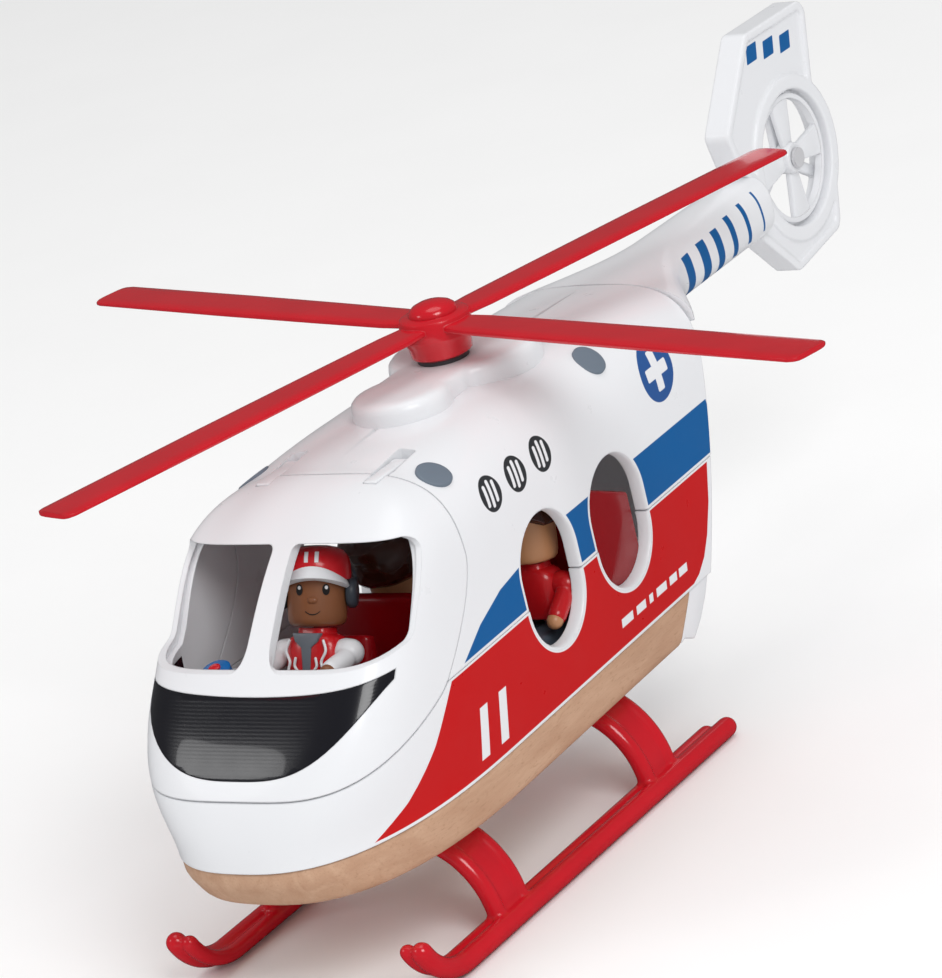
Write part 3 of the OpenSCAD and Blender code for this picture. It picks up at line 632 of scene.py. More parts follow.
def beech():
    """Light sanded beech with long grain and short darker flecks."""
    s = Shader("beech_wood")
    broad = s.noise(1.0, 4.0, 0.55, (0.30, 0.035, 0.22), 0.6)
    fibre = s.noise(1.0, 5.0, 0.7, (2.6, 0.10, 2.2), 0.2)
    fleck = s.noise(1.0, 2.0, 0.5, (3.2, 0.42, 1.9))
    dot = s.low(s.high((fleck - 0.60) * 9.0, 0.0), 1.0)
    pore = s.noise(1.0, 1.0, 0.5, (6.0, 0.9, 5.0))
    hole = s.low(s.high((pore - 0.66) * 10.0, 0.0), 1.0)
    base = s.mix((0.50, 0.285, 0.175), (0.60, 0.375, 0.245), s.low(s.high(broad * 3.0 - 1.0, 0.0), 1.0))
    base = s.mix(base, (0.44, 0.25, 0.15), s.low(s.high(fibre * 2.6 - 1.1, 0.0), 1.0) * 0.42)
    base = s.mix(base, (0.43, 0.24, 0.135), dot * 0.55)
    base = s.mix(base, (0.30, 0.16, 0.09), hole * 0.35)
    normal, worn = s.edges(0.5)
    base = s.mix(base, (0.50, 0.32, 0.2), worn * 0.35)
    rough = 0.52 + (fibre - 0.5) * 0.2
    return s.finish(base, rough, s.bump(fibre * 0.6 - dot * 0.4 - hole * 0.4, 0.22, 0.12, normal), 0.06)


RED_FRONT = ((31.2, -88.3), (35.5, -80.3), (42.7, -70.7), (51.7, -61.0))
RED_REAR = ((31.0, 30.4), (32.2, 34.0), (34.5, 37.4), (38.0, 40.4), (44.0, 43.9), (52.2, 46.9))
BLUE_TOP = ((-56.4, 52.3), (-47.6, 56.9), (-38.2, 60.0), (-29.6, 61.2), (-12.0, 63.4), (50.6, 63.2))
VENTS_Y = (-32.4, -22.5, -12.4)
VENT_Z = 77.2
VENT_R = 3.5
BADGE = (36.0, 75.5)
BAR_MARKS = (-54.4, -47.0)
DASHES = ((3.6, 2.4), (9.6, 2.0), (14.0, 0.8), (18.6, 2.2), (23.8, 1.6), (28.2, 1.8))


def cabin_paint(s):
    """Printed areas of the cabin: red flanks, blue band, vents, badge and plain marks."""
    outer = s.inside(0.2 - s.nx * s.math("SIGN", s.x), 0.1)
    color = WHITE
    blue = s.high(s.z - s.follow(s.y, BLUE_TOP), 52.65 - s.z)
    blue = s.high(blue, s.y - 51.6 + (s.z - 63.2) * 0.12)
    color = s.mix(color, BLUE, s.inside(blue) * outer)
    red = s.high(s.follow(s.z, RED_FRONT) - s.y, s.y - s.follow(s.z, RED_REAR))
    red = s.high(s.high(red, 31.25 - s.z), s.z - 51.5)
    color = s.mix(color, PRINT_RED, s.inside(red) * outer)
    marks = None
    for cy in BAR_MARKS:
        d = s.box(s.y, s.z, cy, 38.1, 1.45, 4.7, 0.32)
        marks = d if marks is None else s.low(marks, d)
    for cy, half in DASHES:
        marks = s.low(marks, s.box(s.y, s.z, cy, 35.6, half, 0.85, 0.2))
    for cy in WINDOWS_Y:
        marks = s.low(marks, s.stadium(cy, WINDOW_Z, WINDOW_R + 0.95, WINDOW_STRAIGHT))
    color = s.mix(color, WHITE, s.inside(marks) * outer)
    for cy in VENTS_Y:
        ring = s.disc(s.y, s.z, cy, VENT_Z, VENT_R)
        slots = s.box(s.y, s.z, cy, VENT_Z, 0.46, 2.65, 0.12, 0.4)
        for off in (-1.6, 1.6):
            slots = s.low(slots, s.box(s.y, s.z, cy + off, VENT_Z, 0.46, 2.1, 0.12, 0.4))
        color = s.mix(color, CHARCOAL, s.inside(ring) * outer)
        color = s.mix(color, WHITE, s.inside(slots) * outer)
    disc = s.disc(s.y, s.z, BADGE[0], BADGE[1], 6.4)
    plus = s.low(s.box(s.y, s.z, BADGE[0], BADGE[1], 1.3, 4.2, 0.0, 0.4),
                 s.box(s.y, s.z, BADGE[0], BADGE[1], 4.2, 1.3, 0.0, 0.4))
    color = s.mix(color, BADGE_BLUE, s.inside(disc) * outer)
    return s.mix(color, WHITE, s.inside(plus) * outer)


# Boom bars as (middle y and z, half width, half height), all leaning the same way
STRIPES = ((82.4, 78.6, 1.9, 5.2), (90.0, 78.9, 1.75, 5.2), (96.6, 79.4, 1.45, 4.9), (103.2, 80.1, 1.1, 4.8),
           (109.9, 80.6, 0.8, 4.7), (116.7, 80.9, 0.4, 4.7))
STRIPE_LEAN = -0.17


def boom_paint(s):
    """Six blue bars on each side of the boom, thinner towards the tail."""
    bars = None
    for cy, cz, half, tall in STRIPES:
        d = s.box(s.y, s.z, cy, cz, half, tall, STRIPE_LEAN)
        bars = d if bars is None else s.low(bars, d)
    return s.mix(WHITE, BLUE, s.inside(bars) * s.inside(3.0 - s.size(s.x), 0.6))


FIN_BARS = (133.6, 140.9, 148.2)


def fin_paint(s):
    """Three plain blue bars in place of lettering."""
    bars = None
    for cy in FIN_BARS:
        d = s.box(s.y, s.z, cy, 110.0 - 0.146 * (cy - 141), 2.3, 1.9, 0.25, 0.3)
        bars = d if bars is None else s.low(bars, d)
    return s.mix(WHITE, BLUE, s.inside(bars) * s.inside(1.7 - s.size(s.x), 0.2))


def visor_lines(s):
    return s.math("SINE", s.z * 11.0) * 0.12


# == Body pieces
def cabin_solid(name, inset):
    rings = []
    steps = height_steps()
    if inset > 0:
        rings.append(ring_half(steps[0], inset, 1.0))
    rings += [ring_half(s, inset) for s in steps]
    full = [h + [(-x, y, z) for x, y, z in h[:0:-1]] for h in rings]
    return add_mesh(name, *loft(full), sharp=40)


def shell(name):
    return boolean(cabin_solid(name, 0.0), cut(cabin_solid("inner", WALL)), 40)


def canopy_outline(margin):
    edge = [(CANOPY_EDGE_Y + margin, 100.0)]
    for z in range(71, 51, -1):
        back = (CANOPY_EDGE_Y - CANOPY_LOW_Y) * ramp((71 - z) / (71 - SEAM_Z)) ** 1.6
        edge.append((CANOPY_EDGE_Y - back + margin, z))
    edge.append((CANOPY_LOW_Y + margin, SEAM_Z - margin))
    for y in range(-64, -104, -2):
        drop = (SEAM_Z - CANOPY_FRONT_Z) * ramp((CANOPY_LOW_Y - y) / 39) ** 0.75
        edge.append((y, SEAM_Z - drop - margin))
    return edge + [(-110.0, CANOPY_FRONT_Z - margin), (-110.0, 100.0)]


def windshield_tool(side, grow=0.0):
    """Solid of one cockpit opening; grown it marks where the wall is thinner."""
    g = grow
    across = [(-57.9 + g, 78.2 + g), (-59.5 + g, 80.2 + g), (-66.0, 80.6 + g), (-110.0, 80.6 + g),
              (-110.0, 62.3 - g), (-82.5, 62.3 - g), (-69.4 + g * 0.3, 63.9 - g), (-68.2 + g, 65.0 - g * 0.3)]
    down = [(2.1, -64.0), (2.6, -80.0), (5.6, -84.5), (5.6, -120.0), (45.0, -120.0), (45.0, -40.0),
            (2.1, -40.0)]
    tool = prism("tool", across, -42, 42)
    if side < 0:
        down = [(-x, y) for x, y in down][::-1]
    boolean(tool, [("INTERSECT", prism("down", down, 40, 100, "z"))])
    return tool if grow else soften(tool, 2.2, 4, 25)


def thin_frame(side):
    tool = windshield_tool(side, FRAME_W)
    boolean(tool, [("INTERSECT", cabin_solid("inside", FRAME_T))])
    return tool


def visor_tool(grow):
    xs = np.linspace(-VISOR_HALF_W - grow, VISOR_HALF_W + grow, 40)
    low = [(x, 46.6 + 12.4 * abs(x / VISOR_HALF_W) ** 3 - grow) for x in xs]
    high = [(x, 58.9 + 1.6 * (x / VISOR_HALF_W) ** 2 + grow) for x in xs[::-1]]
    return prism("visor_tool", low + high, -120, -70, "y")


def side_cuts():
    """Canopy, hatch and window openings, which both shells share."""
    low, high, half = HATCH_LOW_Z - GAP, HATCH_HIGH_Z + 1.6, HATCH_HALF_W + GAP
    windows = [prism("window", stadium(cy, WINDOW_Z, WINDOW_R + 0.5, WINDOW_STRAIGHT), -40, 40)
               for cy in WINDOWS_Y]
    return cut(prism("canopy_cut", canopy_outline(GAP), -45, 45),
               prism("hatch", [(34, low), (64, low), (64, high), (34, high)], -half, half), *windows)


def slab(low, high):
    return ("INTERSECT", prism("slab", [(-60, -130), (60, -130), (60, 90), (-60, 90)], low, high, "z"))


# Closed rear end of the lower shell, as (y, z)
CHIN = [(29.9, 30.65), (22.1, 21.5), (24.6, 22.1), (28.0, 20.6), (32.0, 23.4), (35.4, 27.0), (38.3, 31.15),
        (39.0, 33.0), (30.0, 33.0)]


def window_rim(name, cy, side, upper):
    """White lining of one half of a side window, a little deeper than the wall."""
    inner = WINDOW_R - (0.0 if upper else 0.25)
    sign = 1 if upper else -1
    start = 0.0 if upper else -math.pi
    limit = SEAM_Z + sign * 0.14
    arc = [((math.cos(a), math.sin(a)), None) for a in np.linspace(start, start + math.pi, 27)]
    pts = [((sign, 0.0), limit)] + arc + [((-sign, 0.0), limit)]
    section = ((inner + 0.35, 0.02), (inner, -0.4), (inner, -2.7), (inner + 1.1, -2.7), (inner + 1.1, -0.04))
    rings = []
    for (c, s), z in pts:
        ring = []
        for r, depth in section:
            y = cy + r * c
            zz = z if z is not None else WINDOW_Z + sign * WINDOW_STRAIGHT / 2 + r * s
            ring.append((side * (side_w(y) + depth), y, zz))
        rings.append(ring)
    return add_mesh(name, *loft(rings), sharp=50)


def build_shells():
    whole = shell("whole")

    def part(name):
        ob = bpy.data.objects.new(name, whole.data.copy())
        bpy.context.scene.collection.objects.link(ob)
        return ob

    lower = part("lower_shell_skin")
    boolean(lower, [slab(WOOD_TOP + GAP, SEAM_Z - GAP / 2)] + side_cuts(), 40)
    chin_w = side_w(30) - 0.6
    chin = soften(prism("tail_chin", rounded(CHIN, 1.0, 4), -chin_w, chin_w), 0.7, 3, 50)
    fit(chin, "airframe", "cabin", "lower_shell")
    fit(lower, "airframe", "cabin", "lower_shell")

    upper = part("upper_shell_skin")
    slots = [block("slot", (x - 1.9, -50, 78), (x + 1.9, -35.7, 98), 0.5)
             for x in (-HINGE_ARM_X, HINGE_ARM_X)]
    boolean(upper, [slab(SEAM_Z + GAP / 2, 110)] + side_cuts() + cut(*slots), 40)
    fit(upper, "airframe", "cabin", "upper_shell")

    canopy = part("canopy_skin")
    notches = [block("notch", (x - 1.6, -50.15, 78), (x + 1.6, -44, 98), 0.3)
               for x in (-HINGE_ARM_X, HINGE_ARM_X)]
    keep = ("INTERSECT", prism("canopy_keep", canopy_outline(-GAP), -45, 45))
    boolean(canopy, [keep] + cut(thin_frame(1), thin_frame(-1), windshield_tool(1), windshield_tool(-1),
                                 visor_tool(0.06), *notches), 40)
    fit(canopy, "canopy", "cabin", "canopy")
    visor = part("visor_skin")
    boolean(visor, [("INTERSECT", visor_tool(0.0))], 40)
    soften(visor, 0.35, 3, 50, 50)
    fit(visor, "canopy", "visor", "visor")
    bpy.data.objects.remove(whole)
    for cy, label in zip(WINDOWS_Y, ("front", "rear")):
        for side, hand in ((1, "right"), (-1, "left")):
            for up, half in ((True, "upper"), (False, "lower")):
                rim = window_rim(f"window_lining_{label}_{hand}_{half}", cy, side, up)
                fit(rim, "airframe", "white")


# The front of the base falls back like a bow: (height, length scale about the pivot)
BOW = ((WOOD_LOW, 0.962), (22.0, 0.970), (22.9, 0.976), (24.2, 0.983), (25.4, 0.989), (26.6, 0.995),
       (27.8, 0.999), (29.0, 1.0), (31.0, 1.0))
BOW_PIVOT_Y = 40.0


def build_wood():
    rings = []
    edge = [(WOOD_LOW, 1.6), (WOOD_LOW + 0.12, 1.1), (WOOD_LOW + 0.4, 0.7), (WOOD_LOW + 0.9, 0.42),
            (WOOD_LOW + 1.6, 0.3)]
    edge += [(z, 0.3) for z in (24.2, 25.4, 26.6, 27.8, 29.0, WOOD_TOP - 0.5)]
    edge += [(WOOD_TOP - 0.15, 0.42), (WOOD_TOP, 0.75)]
    base = height_steps()[0]
    for z, inset in edge:
        h = ring_half(base, inset)
        back = float(np.interp(z, *zip(*BOW)))
        h = [(x * (1 - (1 - back) / 3), BOW_PIVOT_Y + (y - BOW_PIVOT_Y) * back, z) for x, y, _ in h]
        rings.append(h + [(-x, y, z) for x, y, _ in h[:0:-1]])
    ob = add_mesh("wood_base_skin", *loft(rings), sharp=50)
    slope = [(29.5, WOOD_TOP + 0.1), (29.5, 40.0), (70.0, 40.0), (70.0, 10.0), (11.0, 10.0)]
    boolean(ob, cut(prism("slope", slope, -50, 50)), 50)
    fit(ob, "airframe", "wood", "wood_base")


def boom_half_w(y):
    return 7.6 - 0.03 * (y - 85) + 17 * (1 - smooth((y - 48) / 38)) ** 1.35


def boom_section(y):
    blend = smooth((y - BOOM_START_Y) / 25)
    mid = 79 + 1.5 * blend
    up, low = 87.5 - mid, 0.8 + 6.2 * blend
    return [(x, y, mid + (up if z > 0 else low) * z) for x, z in oval(boom_half_w(y), 1.0, 2.5, 72)]


def build_boom():
    rings = [boom_section(y) for y in np.linspace(BOOM_START_Y, BOOM_END_Y, 60)]
    ob = add_mesh("tail_boom_skin", *loft(rings), sharp=50)
    boolean(ob, cut(prism("ring", circle(TAIL_Y, TAIL_Z, TAIL_RING_R + GAP), -20, 20)), 50)
    fit(ob, "airframe", "boom", "tail_boom")


FIN_OUTLINE = [(118, 90), (115.5, 98), (131.4, 115.9), (156.5, 115.7), (158.4, 113), (155, 97),
               (160, 86), (155, 66), (153.6, 64), (133.5, 61.2), (121, 73), (124, 84)]


def build_fin():
    half = FIN_T / 2
    outline = rounded(FIN_OUTLINE, 2.4)
    plate = prism("plate", outline, -half + 0.7, half - 0.7)
    rim = prism("rim", outline, -half, half)
    field = shrink(outline, 1.9)
    for low, high in ((-half - 1, -half + 0.75), (half - 0.75, half + 1)):
        boolean(rim, cut(prism("field", field, low, high)))
    ring = prism("ring", circle(TAIL_Y, TAIL_Z, TAIL_RING_R), -half, half)
    boolean(ring, cut(prism("hole", circle(TAIL_Y, TAIL_Z, TAIL_OPENING_R), -half - 2, half + 2)))
    for ob in (rim, plate):
        boolean(ob, cut(prism("opening", circle(TAIL_Y, TAIL_Z, TAIL_RING_R - 0.4), -20, 20)))
    arms = []
    for a in (90, 210, 330):
        arm = block("arm", (-half, 0.0, -1.3), (-half + 1.6, TAIL_OPENING_R + 1.2, 1.3), 0.3)
        turn = Matrix.Translation((0, TAIL_Y, TAIL_Z)) @ Matrix.Rotation(math.radians(a), 4, "X")
        arms.append(place(arm, turn))
    boss = prism("boss", circle(TAIL_Y, TAIL_Z, 3.0, 40), -half, -half + 1.7)
    ob = join("tail_fin_skin", [plate, rim, ring, boss] + arms)
    melt(ob, 0.28, 3)
    fit(ob, "airframe", "fin", "tail_fin")


def shrink(outline, amount):
    """The outline moved inward, for a convex-like outline given clockwise or not."""
    n = len(outline)
    area = sum(outline[i][0] * outline[(i + 1) % n][1] - outline[(i + 1) % n][0] * outline[i][1]
               for i in range(n))
    sign = 1 if area > 0 else -1
    out = []
    for i in range(n):
        a, b = Vector(outline[i - 1]), Vector(outline[(i + 1) % n])
        d = (b - a).normalized()
        out.append((outline[i][0] - sign * d.y * amount, outline[i][1] + sign * d.x * amount))
    return out


def build_tail_rotor():
    hub = lathe("hub", [(0, 0), (3.2, 0), (3.4, 0.3), (3.4, 3.0), (3.1, 3.4), (0, 3.4)])
    rim = [(13.0, 0.8), (14.1, 0.8), (14.2, 1.0), (14.2, 2.4), (14.1, 2.6), (13.0, 2.6)]
    rings = [[(r * c, r * s, z) for r, z in rim] for c, s in turns(96)]
    rings.append(rings[0])
    rim = add_mesh("rim", *loft(rings, cap=False), sharp=40)
    spokes = []
    for k in range(4):
        line = [(-1.6, 2.0), (1.6, 2.0), (3.6, 13.6), (-3.6, 13.6)]
        spoke = prism("spoke", line, 1.0, 2.4, "z")
        soften(spoke, 0.4, 3)
        spokes.append(place(spoke, Matrix.Rotation(math.pi / 2 * k, 4, "Z")))
    ob = join("tail_rotor_skin", [hub, rim] + spokes)
    turn = Matrix.Translation((-1.1, TAIL_Y, TAIL_Z)) @ Matrix.Rotation(math.pi / 2, 4, "Y")
    place(ob, turn)
    shade(ob, 40)
    fit(ob, "tail_rotor", "white", "tail_rotor")


def cowling_outline(grow, n=40):
    """Waisted outline of the two round lobes under the rotor."""
    front = (0.0, -17.0, 9.8 + grow)
    rear = (0.0, 7.0, 15.2 + grow)
    out = []
    for i in range(n + 1):
        a = math.radians(-58 + 296 * i / n)
        out.append((rear[2] * math.cos(a), rear[1] + rear[2] * math.sin(a)))
    for i in range(n + 1):
        a = math.radians(150 + 240 * i / n)
        out.append((front[2] * math.cos(a), front[1] + front[2] * math.sin(a)))
    return out


def build_cowling():
    rings = []
    for z, grow in ((87.0, 0.3), (90.9, 0.1), (91.9, -0.1), (92.5, -0.7), (92.85, -1.6), (93.0, -3.0)):
        rings.append([(x, y, z) for x, y in cowling_outline(grow)])
    ob = add_mesh("roof_cowling_skin", *loft(rings), sharp=60)
    fit(ob, "airframe", "white", "roof_cowling")


def rod_path(x, rear):
    """Straight rod with its front curled up."""
    path = [(x, y, SKID_R) for y in np.linspace(rear, SKID_FRONT_Y, 30)]
    for a in np.radians(np.linspace(0, CURL_DEG, 15)[1:]):
        path.append((x, SKID_FRONT_Y - CURL_R * math.sin(a), SKID_R + CURL_R * (1 - math.cos(a))))
    return path


def bend_path(side, y, out=0.0):
    """Quarter bend of a leg, up and in from the skid."""
    cx, r = SKID_X - 2 - LEG_BEND_R, LEG_BEND_R + out
    return [(side * (cx + r * math.cos(a)), y, SKID_R + r * math.sin(a))
            for a in np.radians(np.linspace(0, 90, 21))]


def skid_leg(side, y):
    """Two beads with a web between them, standing in a saddle over both rods."""
    thick, wide = 1.1, 4.4
    corners = ((-thick, -wide), (-thick, wide), (thick, wide), (thick, -wide))
    web = list(zip(*(bend_path(side, y + w, t) for t, w in corners)))
    low, high = sorted((side * 24.2, side * 27.6))
    return [tube("bead", bend_path(side, y - 4.2), 1.8, 16), tube("bead", bend_path(side, y + 4.2), 1.8, 16),
            add_mesh("web", *loft(web)), block("saddle", (low, y - 5.2, 1.2), (high, y + 5.2, 3.4), 0.6)]


def build_skids():
    parts = []
    for side in (-1, 1):
        parts.append(tube("rod", rod_path(side * SKID_X, SKID_REAR_Y), SKID_R + 0.1, 24))
        parts.append(tube("rod", rod_path(side * (SKID_X - 3.1), SKID_REAR_Y - 3), SKID_R - 0.4, 24))
        for y in LEG_Y:
            parts += skid_leg(side, y)
    parts += [block("foot", (-13.2, y - 5, 18.45), (13.2, y + 5, 21.4), 0.7) for y in LEG_Y]
    ob = melt(join("skid_frame_skin", parts), 0.36, 6)
    fit(ob, "airframe", "red", "skid_frame")


# Blade outline as (distance from the axis, half width)
BLADE_STATIONS = ((3.0, 3.3), (6.0, 3.6), (12.0, 4.3), (30.0, 4.6), (60.0, 4.85), (ROTOR_R - 1.8, 5.0),
                  (ROTOR_R - 0.6, 4.6), (ROTOR_R - 0.1, 3.9))


def build_rotor():
    blades = []
    for k in range(4):
        rings = []
        for u, w in BLADE_STATIONS:
            top = 0.8 if u < ROTOR_R - 2 else 0.55
            rings.append([(u, y, ROTOR_Z + z) for y, z in oval(w, top, 4.5, 24)])
        blade = add_mesh("blade", *loft(rings), sharp=40)
        blades.append(place(blade, Matrix.Rotation(ROTOR_REST + math.pi / 2 * k, 4, "Z")))
    hub = lathe("hub", [(2.2, 94.0), (5.6, 94.0), (6.1, 94.4), (6.4, 96.5), (7.1, 98.0), (7.2, 98.4),
                        (7.2, 101.4), (6.9, 102.1), (6.2, 102.45), (0, 102.5)], 64)
    ob = join("main_rotor_skin", blades + [hub])
    shade(ob, 40)
    fit(ob, "main_rotor", "red", "main_rotor")
    cap = lathe("rotor_cap_skin", [(0, 102.4), (4.9, 102.4), (4.9, 102.8), (4.6, 103.5), (3.9, 104.1),
                                   (2.7, 104.6), (1.4, 104.85), (0, 104.95)], 48)
    fit(cap, "main_rotor", "red", "rotor_cap")


def build_roof_details():
    for side in (-1, 1):
        for i, (y, z) in enumerate(PLUG_PLACES):
            plug = lathe("plug", [(0, -1.9), (3.6, -1.9), (3.6, 0.05), (3.45, 0.2), (3.0, 0.22), (0, 0.22)])
            x = side_w(y) * shoulder(z, roof_z(y))
            slope = side_w(y) * (shoulder(z - 0.1, roof_z(y)) - shoulder(z + 0.1, roof_z(y))) / 0.2
            tilt = math.atan2(1.0, slope)
            place(plug, Matrix.Translation((side * x, y, z)) @ Matrix.Rotation(side * tilt, 4, "Y"))
            plug.name = f"roof_plug_{'front' if i == 0 else 'rear'}_{'right' if side > 0 else 'left'}"
            fit(plug, "airframe", "plug", "roof_screw_plugs")
    for side, hand in ((1, "right"), (-1, "left")):
        x = side * HINGE_ARM_X
        arm = block("arm", (x - 1.5, -50.0, 84.0), (x + 1.5, HINGE_Y, 87.2), 0.4)
        disc = prism("disc", circle(HINGE_Y, HINGE_Z, 3.6, 48), x - 1.5, x + 1.5)
        boolean(disc, cut(prism("bore", circle(HINGE_Y, HINGE_Z, 1.06, 24), x - 4, x + 4)))
        ob = join(f"canopy_hinge_arm_{hand}", [arm, disc])
        shade(ob, 40)
        fit(ob, "canopy", "white", "canopy_hinge_arms")


def build_hatch():
    zs = np.linspace(HATCH_LOW_Z, HATCH_HIGH_Z, 40)
    outline = [(rear_y(z), z) for z in zs] + [(rear_y(z) - 2.0, z) for z in zs[::-1]]
    ob = prism("rear_hatch_skin", outline, -HATCH_HALF_W, HATCH_HALF_W)
    soften(ob, 0.6, 3, 50)
    fit(ob, "rear_hatch", "white", "rear_hatch")
    for i, x in enumerate((-12, 12)):
        disc = prism(f"hatch_knuckle_{i}", circle(*HATCH_PIN, 1.9, 40), x - 2.5, x + 2.5)
        boolean(disc, cut(prism("bore", circle(*HATCH_PIN, 0.96, 24), x - 4, x + 4)))
        fit(disc, "rear_hatch", "white", "rear_hatch")


# == Interior and figures
def lean(y, z, recline):
    a = math.radians(recline)
    return (y * math.cos(a) + z * math.sin(a), z * math.cos(a) - y * math.sin(a))


def seat(key, x, width, back_w, back_h, back_y, foot, rear=()):
    """Pan on a pedestal and a leaning back that widens to the floor, as one glossy moulding."""
    f = FIGURES[key]
    hip, r = f["hip"], f["recline"]
    low = WOOD_TOP + GAP + 1.95 - hip[2]
    pan = prism("pan", rounded([(-11, 0), (1.5, 0), (1.5, low), (-10, low), (-10, -3), (-11, -3)], 0.7, 3),
                -width / 2, width / 2)
    back = [(0.8, low), (0.8, -2), lean(back_y, 0, r), lean(back_y, back_h, r), lean(back_y + 2.8, back_h, r)]
    back = prism("back", rounded(back + list(rear) + [(foot, low)], 0.9, 4), -back_w / 2, back_w / 2)
    soften(pan, 0.8, 3, 50)
    soften(back, 0.9, 3, 50)
    ob = join(f"{key}_seat_skin", [pan, back])
    place(ob, Matrix.Translation((x, hip[1], hip[2] - 0.1)) @ Matrix.Rotation(math.radians(f["turn"]), 4, "Z")
          @ Matrix.Translation((0, 0.6, 0)))
    shade(ob, 50)
    fit(ob, "airframe", "liner", f"{key}_seat")


FIGURES = {
    "pilot": {"hip": (0.9, -63.5, 45.8), "recline": 22, "turn": 0, "yaw": 26, "lift": 62, "shin": 9.0},
    "medic": {"hip": (2.2, -36.1, 40.6), "recline": 9, "turn": 180, "yaw": 0, "lift": 45, "shin": 6.4},
    "passenger": {"hip": (14.0, -5.4, 35.9), "recline": 9, "turn": 0, "yaw": -24, "lift": 45, "shin": 3.2},
}


def spine(f):
    return (Matrix.Translation(f["hip"]) @ Matrix.Rotation(math.radians(f["turn"]), 4, "Z")
            @ Matrix.Rotation(math.radians(-f["recline"]), 4, "X") @ Matrix.Translation((0, -4.2, 0)))


def head_frame(f):
    return spine(f) @ Matrix.Translation((0, 0, 16.55)) @ Matrix.Rotation(math.radians(f["yaw"]), 4, "Z")


HEAD_PROFILE = [(0, 0), (4.2, 0), (4.9, 0.25), (5.3, 0.7), (5.52, 1.5), (5.6, 2.6), (5.6, 4.5), (5.6, 8.0),
                (5.56, 9.2), (5.3, 10.2), (4.7, 11.0), (3.7, 11.6), (2.2, 11.93), (0, 12)]


def on_head(angle, height, lift=0.0):
    """Point on the front of the head in the head's frame."""
    r = 5.6 + lift
    a = math.radians(angle)
    return Vector((r * math.sin(a), -r * math.cos(a), height))


def head_patch(name, outline, lift, thick=0.12):
    """A thin plate wrapped on the head; the outline is (millimetres sideways, height)."""
    rings = []
    for extra in (lift - thick, lift):
        rings.append([tuple(on_head(math.degrees(u / 5.6), v, extra)) for u, v in outline])
    return add_mesh(name, *loft(rings), sharp=60)


def ellipse(cu, cv, ru, rv):
    return [(cu + ru * c, cv + rv * s) for c, s in turns(24)]


def build_figure(key):
    f = FIGURES[key]
    pilot = key == "pilot"
    skin = "skin_brown" if pilot else "skin_tan"
    hips = Matrix.Translation(f["hip"]) @ Matrix.Rotation(math.radians(f["turn"]), 4, "Z")
    top, face = spine(f), head_frame(f)
    legs = []
    for s in (-1, 1):
        thigh = block("thigh", (s * 3 - 2.8, -13, 0.1), (s * 3 + 2.8, -1, 4.7), 1.0)
        shin = block("shin", (s * 3 - 2.8, -16.6, 0.1 - f["shin"]), (s * 3 + 2.8, -11.6, 4.7), 1.0)
        foot = block("foot", (s * 3 - 2.8, -18.4, -f["shin"]), (s * 3 + 2.8, -11.6, 2.4 - f["shin"]), 0.7)
        legs += [thigh, shin, foot]
    ob = place(join(f"{key}_legs_skin", legs), hips)
    shade(ob, 50)
    fit(ob, "airframe", "trousers", f"{key}_legs")
    rings = []
    for z, w, d in ((5.4, 5.6, 3.6), (6.0, 5.8, 3.8), (10.0, 5.8, 3.8), (13.0, 5.7, 3.7), (14.4, 5.1, 3.4),
                    (15.0, 4.0, 3.0), (15.2, 3.4, 2.9), (16.3, 3.3, 2.9)):
        rings.append([(x, y, z) for x, y in oval(w, d, 3.4, 40)])
    body = place(add_mesh(f"{key}_body_skin", *loft(rings), sharp=60), top)
    fit(body, "airframe", "vest" if pilot else "jacket", f"{key}_body")
    for side, hand in ((-1, "left"), (1, "right")):
        swing = (top @ Matrix.Translation((side * 5.95, 0, 11.6))
                 @ Matrix.Rotation(math.radians(-f["lift"]), 4, "X"))
        path = spline([(side * 1.2, 0, 0.3), (side * 1.75, 0, -2.6), (side * 1.8, -0.3, -5.2),
                       (side * 1.8, -0.5, -7.3)], 6)
        sleeve = tube("sleeve", path, 1.95, 20)
        ball = tube("ball", [(side * 0.3, 0, 0.2), (side * 1.5, 0, 0)], 2.6, 24)
        arm = place(join(f"{key}_{hand}_arm_skin", [sleeve, ball]), swing)
        shade(arm, 60)
        fit(arm, f"{key}_{hand}_arm", "sleeve" if pilot else "jacket", f"{key}_{hand}_arm")
        hand_ob = tube(f"{key}_{hand}_hand", [(side * 1.8, -0.5, -7.9), (side * 1.8, -0.6, -8.7)], 1.65, 20)
        place(hand_ob, swing)
        fit(hand_ob, f"{key}_{hand}_arm", skin)
    head = place(lathe(f"{key}_head_skin", HEAD_PROFILE, 56, 60), face)
    fit(head, f"{key}_head", skin, f"{key}_head")
    build_face(key, face, skin)
    if pilot:
        build_cap(face)
        build_headset(face)
        build_vest_details(top)
    else:
        build_hair(key, face)


def build_face(key, face, skin):
    """Plain doll face: oval eyes with a highlight, small nose and a smile."""
    body = f"{key}_head"
    for s, hand in ((-1, "left"), (1, "right")):
        eye = head_patch(f"{key}_eye_{hand}", ellipse(s * 2.6, 6.9, 0.72, 1.05), 0.1)
        fit(place(eye, face), body, "ink")
        spark = head_patch(f"{key}_spark_{hand}", ellipse(s * 2.6 + 0.05, 7.3, 0.32, 0.36), 0.16)
        fit(place(spark, face), body, "white")
    nose = tube(f"{key}_nose", [tuple(on_head(-3.5, 4.9, -0.35)), tuple(on_head(3.5, 4.9, -0.35))], 0.72, 16)
    fit(place(nose, face), body, skin)
    smile = [(u, 2.35 + 0.30 * u * u) for u in np.linspace(-1.45, 1.45, 13)]
    smile += [(u, 2.13 + 0.32 * u * u) for u in np.linspace(1.45, -1.45, 13)]
    fit(place(head_patch(f"{key}_smile", smile, 0.07), face), body, "ink")


